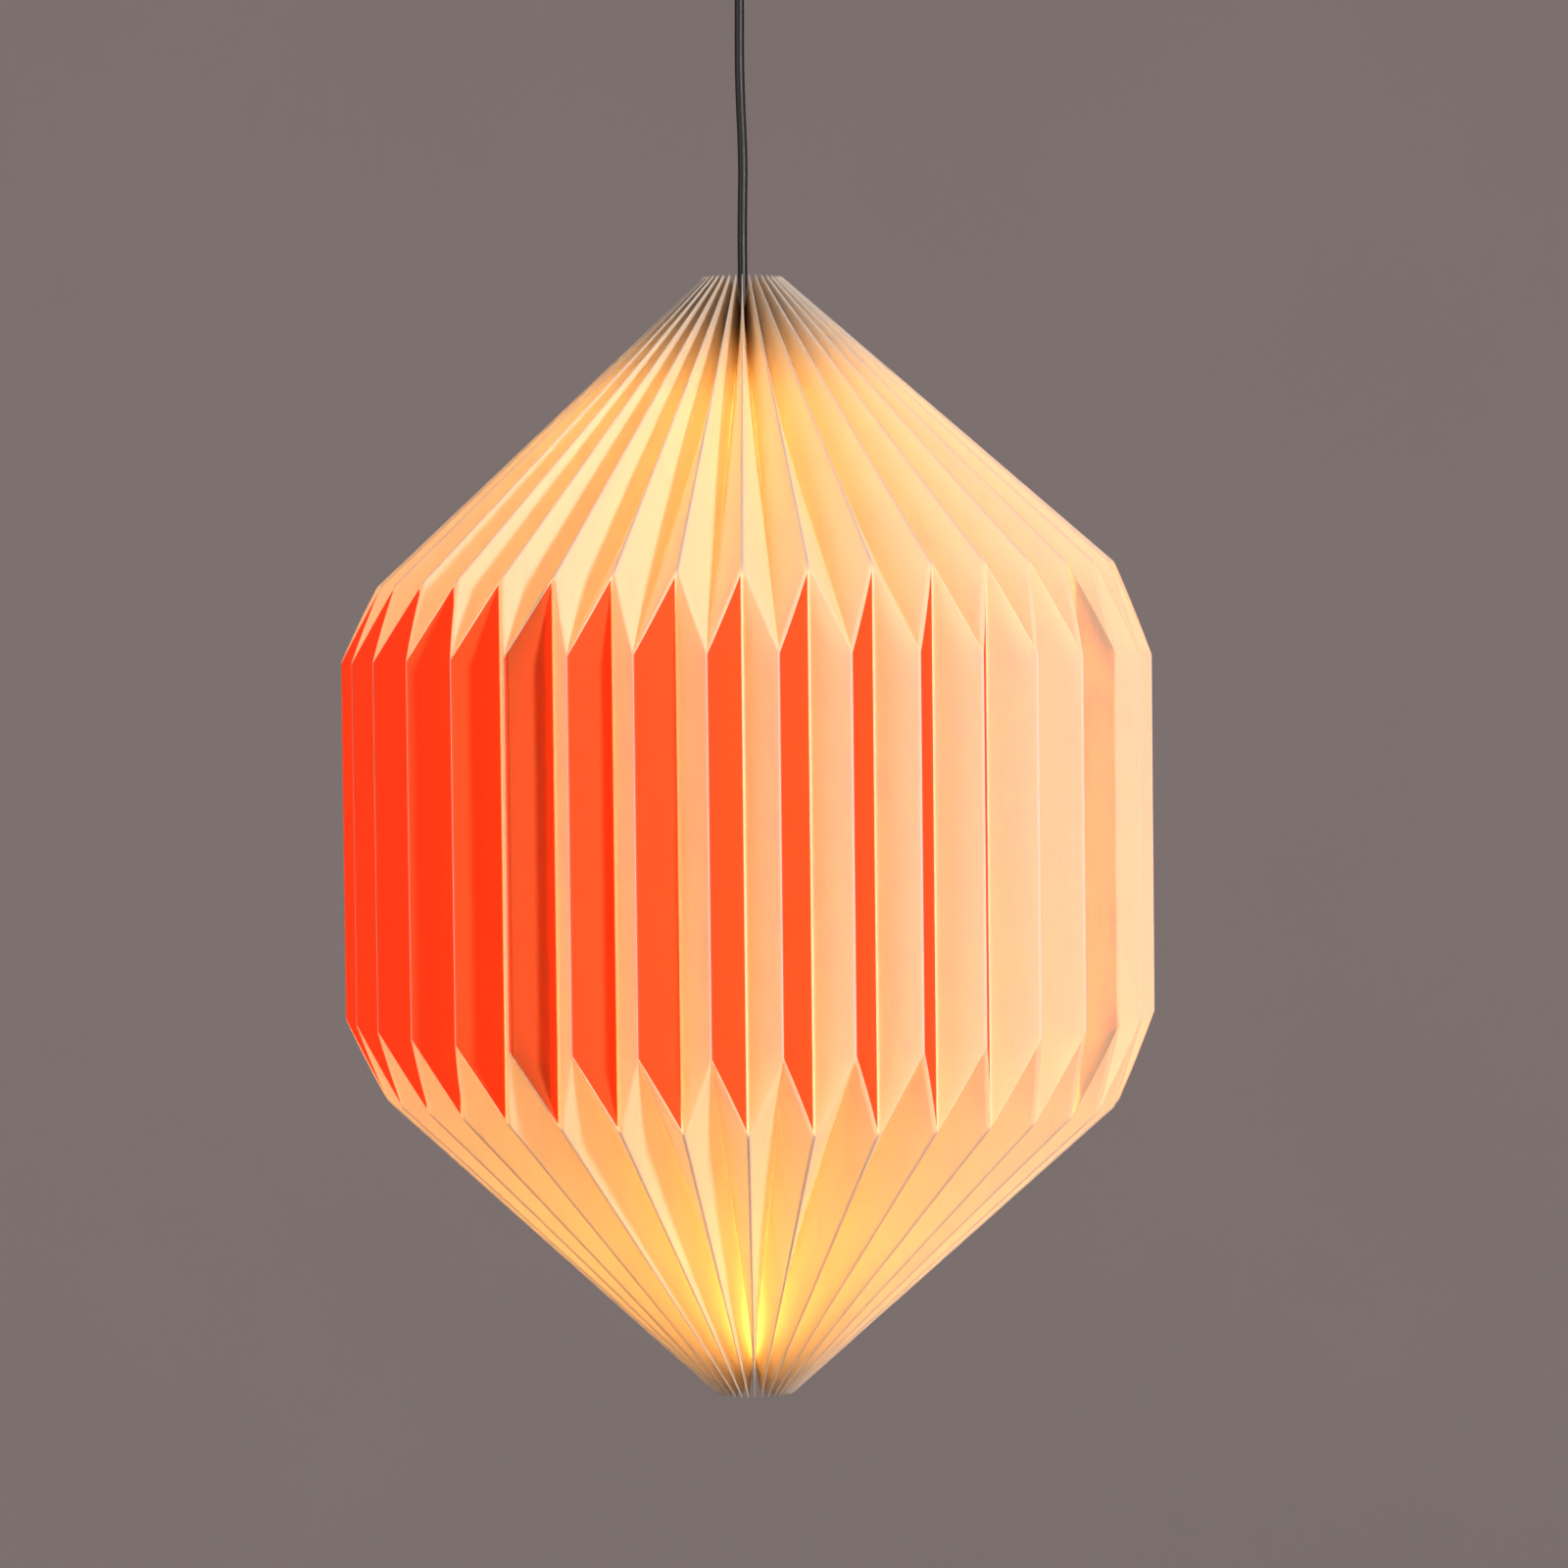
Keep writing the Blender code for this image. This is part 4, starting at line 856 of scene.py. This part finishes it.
topZ, outer = holderValues["top"], holderValues["radius"]
inner = outer - holderValues["wall"]
bore, thread, collar = holderValues["bore"], holderValues["thread"], holderValues["collar"]
holderPiece("holderNipple", [
    (bore, topZ - 0.0100, 0), (thread, topZ - 0.0100, 0.0003), (thread, topZ - 0.0040, 0),
    (collar, topZ - 0.0040, 0.0003), (collar, topZ - 0.0006, 0.0008), (0.0050, topZ, 0.0006), (bore, topZ, 0.0003),
], blackPlastic, "black_plastic", "holder_nipple")
capTop, capShoulder = topZ - holderValues["capDrop"], topZ - holderValues["shoulderDrop"]
capLow, capHole = capShoulder - holderValues["skirt"], holderValues["capHole"]
holderPiece("holderCap", [
    (capHole, capTop, 0), (0.0085, capTop, 0.0006), (outer, capShoulder, 0.0020), (outer, capLow, 0.0003),
    (inner, capLow, 0.0002), (inner, capShoulder - 0.0006, 0.0010), (0.0081, capTop - 0.0018, 0.0004),
    (capHole, capTop - 0.0018, 0),
], blackPlastic, "black_plastic", "holder_cap")
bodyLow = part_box("holder_body")[0].z
bodyTop = capLow - holderValues["gap"]
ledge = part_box("screw_shell")[1].z
tongueIn, tongueOut = holderValues["tongue"]
groove, lip = holderValues["groove"], holderValues["lip"]
holderPiece("holderBody", [
    (tongueIn, bodyTop + 0.0060, 0.0003), (tongueOut, bodyTop + 0.0060, 0.0003), (tongueOut, bodyTop, 0),
    (outer, bodyTop, 0.0003), (outer, bodyTop - 0.0120, 0.0002), (groove, bodyTop - 0.0125, 0.0002),
    (groove, bodyTop - 0.0135, 0.0002), (outer, bodyTop - 0.0140, 0.0002), (outer, bodyLow, 0.0006),
    (inner, bodyLow, 0.0004), (inner, ledge - 0.0020, 0), (lip, ledge - 0.0020, 0.0002), (lip, ledge, 0.0002),
    (tongueIn, ledge, 0),
], blackPlastic, "black_plastic", "holder_body")
ribLow, ribHigh = bodyTop - holderValues["ribLow"], bodyTop - holderValues["ribHigh"]
holderRib = ribMesh(outer, ribLow, ribHigh, holderValues["ribWidth"], holderValues["ribDepth"])
ringOf("holderRibs", holderRib, holderValues["ribs"], blackPlastic, "holder", "black_plastic")
shellLow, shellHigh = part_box("screw_shell")
lidLow, shellHole = shellHigh.z - shellValues["wall"], shellValues["hole"]
shellMesh = threadedSleeve(
    "screwShell", shellValues["radius"], shellValues["wall"], shellValues["threadDepth"], pitch, shellHigh.z,
    shellLow.z, [(shellValues["lid"], lidLow), (shellHole, lidLow), (shellHole, shellHigh.z)],
)
own(show("screwShell", shellMesh, brass), "holder", "brass", "screw_shell")
ceramic = surface("ceramic", (0.84, 0.82, 0.77), (0.76, 0.74, 0.69), 0.28, 0.0, 50.0, coat=0.4)
solderMetal = surface("solderMetal", (0.56, 0.56, 0.57), (0.44, 0.44, 0.46), 0.42, 1.0, 300.0, 0.00008)
blackGlass = surface("blackGlass", (0.018, 0.018, 0.028), (0.030, 0.028, 0.040), 0.14, 0.0, 90.0, coat=0.5)
for node, finish in (
    ("holder_insert", ceramic), ("live_terminal", brass), ("neutral_terminal", brass), ("centre_contact", brass),
    ("holder_live_core", brownCore), ("holder_neutral_core", blueCore),
):
    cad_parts[node].data.materials[0] = finish

# Bulb

print("bulb")
glassClear = clearGlass("glassClear")
ledPhosphor = glowing("ledPhosphor", (1.0, 0.72, 0.35), 30.0)
bulbValues = {
    "radius": 0.0300, "wall": 0.0007, "neck": 0.0124, "neckRise": 0.0078, "drop": 0.0380, "capTurn": 0.0026,
    "capRadius": 0.0127, "capWall": 0.0004, "threadDepth": 0.0006, "capLow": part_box("bulb_cap")[0].z,
}
filamentValues = {"count": 4, "radius": 0.0008, "top": 0.00515, "foot": 0.0085, "inset": 0.0003, "wire": 0.00025}


# Neck, a smooth flare and the ball below it, down to the pole
def glassOutline(radius, neck):
    capEnd, centre = bulbValues["capLow"], bulbValues["capLow"] - bulbValues["drop"]
    meet = pi * 0.72
    joint = Vector((radius * sin(meet), centre - radius * cos(meet)))
    start, slope = Vector((neck, capEnd)), Vector((-cos(meet), -sin(meet)))
    reach = (joint - start).length * 0.4
    points = [(neck, capEnd + bulbValues["neckRise"])]
    for k in range(14):
        t = k / 14
        a, b, c, d = start, start + Vector((0, -reach)), joint + slope * reach, joint
        spot = (1 - t) ** 3 * a + 3 * t * (1 - t) ** 2 * b + 3 * t * t * (1 - t) * c + t**3 * d
        points.append((spot.x, spot.y))
    for k in range(28):
        angle = meet * (1 - k / 28)
        points.append((radius * sin(angle), centre - radius * cos(angle)))
    return points + [(0.0, centre - radius)]


outerGlass = glassOutline(bulbValues["radius"], bulbValues["neck"])
innerGlass = glassOutline(bulbValues["radius"] - bulbValues["wall"], bulbValues["neck"] - bulbValues["wall"])
glassMesh = lathe("bulbGlass", outerGlass[::-1] + innerGlass, 96, isClosed=False)
own(show("bulbGlass", glassMesh, glassClear), "bulb", "clear_glass", "bulb_glass")
capLowest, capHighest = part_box("bulb_cap")
capTop = capHighest.z
capMesh = threadedSleeve(
    "bulbCap", bulbValues["capRadius"], bulbValues["capWall"], bulbValues["threadDepth"], pitch,
    capTop - bulbValues["capTurn"], capLowest.z,
    [(0.0104, capTop - 0.0008), (0.0098, capTop - 0.0004), (0.0002, capTop - 0.0004), (0.0002, capTop),
     (0.0100, capTop), (0.0112, capTop - 0.0008)],
)
own(show("bulbCap", capMesh, nickel), "bulb", "nickel", "bulb_cap")
for node, finish in (("bulb_tip", solderMetal), ("bulb_insulator", blackGlass)):
    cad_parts[node].data.materials[0] = finish
stemLow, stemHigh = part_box("bulb_stem")
stemTop, stemEnd = stemHigh.z, stemLow.z
stemMesh = lathe("bulbStem", softOutline([
    (0.0, stemTop, 0), (stemHigh.x, stemTop, 0.0003), (stemHigh.x, stemTop - 0.0010, 0.0006),
    (0.0040, stemTop - 0.0090, 0.0040), (0.0036, stemEnd + 0.0060, 0.0010), (0.0040, stemEnd + 0.0030, 0.0010),
    (0.0020, stemEnd, 0.0010), (0.0, stemEnd, 0),
], 6), 64, isClosed=False)
own(show("bulbStem", stemMesh, glassClear), "bulb", "clear_glass", "bulb_stem")


def filamentMesh():
    low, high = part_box("filament_1")
    upper = Vector((filamentValues["top"], 0, high.z - filamentValues["inset"]))
    lower = Vector((filamentValues["foot"], 0, low.z + filamentValues["inset"]))
    bm = bmesh.new()
    addTube(bm, smoothLine([upper, (upper + lower) / 2, lower], 0.002), filamentValues["radius"], 12)
    return meshFrom("filament", bm, 60.0)


filament = filamentMesh()
filament.transform(Matrix.Rotation(pi / 4, 4, "Z"))
filamentNodes = [f"filament_{k + 1}" for k in range(filamentValues["count"])]
ringOf("filaments", filament, filamentValues["count"], ledPhosphor, "bulb", "phosphor", *filamentNodes)


def wireMesh():  # a wire from the stem's foot out to each filament's lower end
    low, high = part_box("filament_1")
    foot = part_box("bulb_stem")[0].z
    route = [(0.0016, 0, foot + 0.0012), (0.0030, 0, foot - 0.0050)]
    route += [(0.0070, 0, low.z - 0.0006), (0.0086, 0, low.z + 0.0004)]
    return tube("wire", smoothLine(route, 0.001), filamentValues["wire"], 8)


wire = wireMesh()
wire.transform(Matrix.Rotation(pi / 4, 4, "Z"))
ringOf("filamentWires", wire, filamentValues["count"], nickel, "bulb", "nickel")

# Gather threads

print("threads")
threadCotton = surface(
    "threadCotton", (0.86, 0.84, 0.78), (0.78, 0.75, 0.68), 0.85, 0.0, 900.0, 0.0001, (1, 1, 0.3)
)
threadValues = {"ring": 0.00887, "radius": 0.0004, "knot": 0.00035, "tail": 0.0003}


def threadMesh(name, height, isUp):
    bm = bmesh.new()
    ring = threadValues["ring"]
    loop = []
    for k in range(152):
        angle = k / 152 * 2 * pi
        swell = ring + 0.00025 * sin(38 * angle)
        loop.append(Vector((swell * sin(angle), swell * cos(angle), height + 0.0001 * sin(19 * angle))))
    addTube(bm, loop, threadValues["radius"], 10, isLoop=True)
    knotPlace = Vector((0.0, ring + 0.0012, height))  # the knot sits at the back
    knot = []
    for k in range(60):
        t = k / 60 * 2 * pi
        reach = 0.00075 + 0.0003 * cos(3 * t)
        knot.append(knotPlace + Vector((reach * cos(2 * t), 0.0004 * sin(3 * t), reach * sin(2 * t))))
    addTube(bm, knot, threadValues["knot"], 8, isLoop=True)
    for side in (-1, 1):
        fall = [
            knotPlace + Vector((side * 0.0005, 0.0003, 0)),
            knotPlace + Vector((side * 0.0016, 0.0012, 0.0002 * isUp)),
            knotPlace + Vector((side * 0.0024, 0.0022, -0.0022)),
            knotPlace + Vector((side * 0.0021, 0.0026, -0.0060)),
        ]
        addTube(bm, smoothLine(fall, 0.0005), threadValues["tail"], 8)
    return meshFrom(name, bm, 60.0)


for name, node, isUp in (("topThread", "top_thread", 1), ("bottomThread", "bottom_thread", -1)):
    low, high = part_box(node)
    mesh = threadMesh(name, (low.z + high.z) / 2, isUp)
    own(show(name, mesh, threadCotton), "shade", "white_thread", node)

# Floor, backdrop and light

print("floor and light")


def backdrop():
    roomRadius, corner, floorHeight, wallTop = 7.0, 2.5, -2.6, 6.0
    outline = [(0.0, floorHeight), (2.0, floorHeight), (roomRadius - corner, floorHeight)]
    for step in range(1, 13):
        angle = step / 12 * pi / 2
        outline.append((roomRadius - corner + corner * sin(angle), floorHeight + corner - corner * cos(angle)))
    outline.append((roomRadius, wallTop))
    return lathe("floor", outline, 96, isClosed=False)


floorPaint = surface("floorPaint", (0.72, 0.66, 0.655), (0.74, 0.68, 0.675), 0.85, scale=1.5, grain=0.0002)
floor = show("floor", backdrop(), floorPaint)


def areaLight(name, azimuth, elevation, distance, size, watts, colour):
    data = bpy.data.lights.new(name, "AREA")
    data.shape, data.size, data.energy, data.color = "DISK", size, watts, colour
    light = bpy.data.objects.new(name, data)
    bpy.context.scene.collection.objects.link(light)
    a, e = radians(azimuth), radians(elevation)
    away = Vector((sin(a) * cos(e), -cos(a) * cos(e), sin(e)))
    light.location = Vector((0, 0, shadeMiddle)) + away * distance
    light.rotation_euler = (-away).to_track_quat("-Z", "Y").to_euler()
    light.visible_camera = False
    return light


areaLight("keyLight", 35, 13, 2.6, 0.32, 52.0, (1.0, 0.95, 0.93))
areaLight("fillLight", -50, 25, 3.5, 2.4, 36.0, (1.0, 0.97, 0.95))
areaLight("backLight", 170, 30, 3.5, 2.4, 30.0, (1.0, 0.97, 0.95))

world = bpy.data.worlds.new("studio")
world.use_nodes = True
world.node_tree.nodes["Background"].inputs["Color"].default_value = tone(0.60, 0.57, 0.55)
world.node_tree.nodes["Background"].inputs["Strength"].default_value = 0.31
bpy.context.scene.world = world

bulbLow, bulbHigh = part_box("bulb_glass")
bulbMiddle = bulbLow.z + (bulbHigh.x - bulbLow.x) / 2


def insideLight(name, height, radius, watts, body, colour=(1.0, 0.72, 0.30)):
    data = bpy.data.lights.new(name, "POINT")
    data.energy, data.shadow_soft_size, data.color = watts, radius, colour
    light = bpy.data.objects.new(name, data)
    bpy.context.scene.collection.objects.link(light)
    light.location = (0.0, 0.0, height)
    light.visible_camera = light.visible_glossy = light.visible_transmission = False
    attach(light, body)


insideLight("bulbLight", bulbMiddle, 0.02, 1.4, "bulb")
insideLight("shadeGlow", shadeMiddle, 0.06, 1.15, "shade", (1.0, 0.56, 0.36))  # light sent back by the red bands
insideLight("lowGlow", shadeMiddle - 0.14, 0.04, 1.35, "shade")
insideLight("upperTipGlow", shadeMiddle + 0.2354, 0.024, 2.2, "shade")
insideLight("lowerTipGlow", shadeMiddle - 0.2354, 0.020, 1.5, "shade")
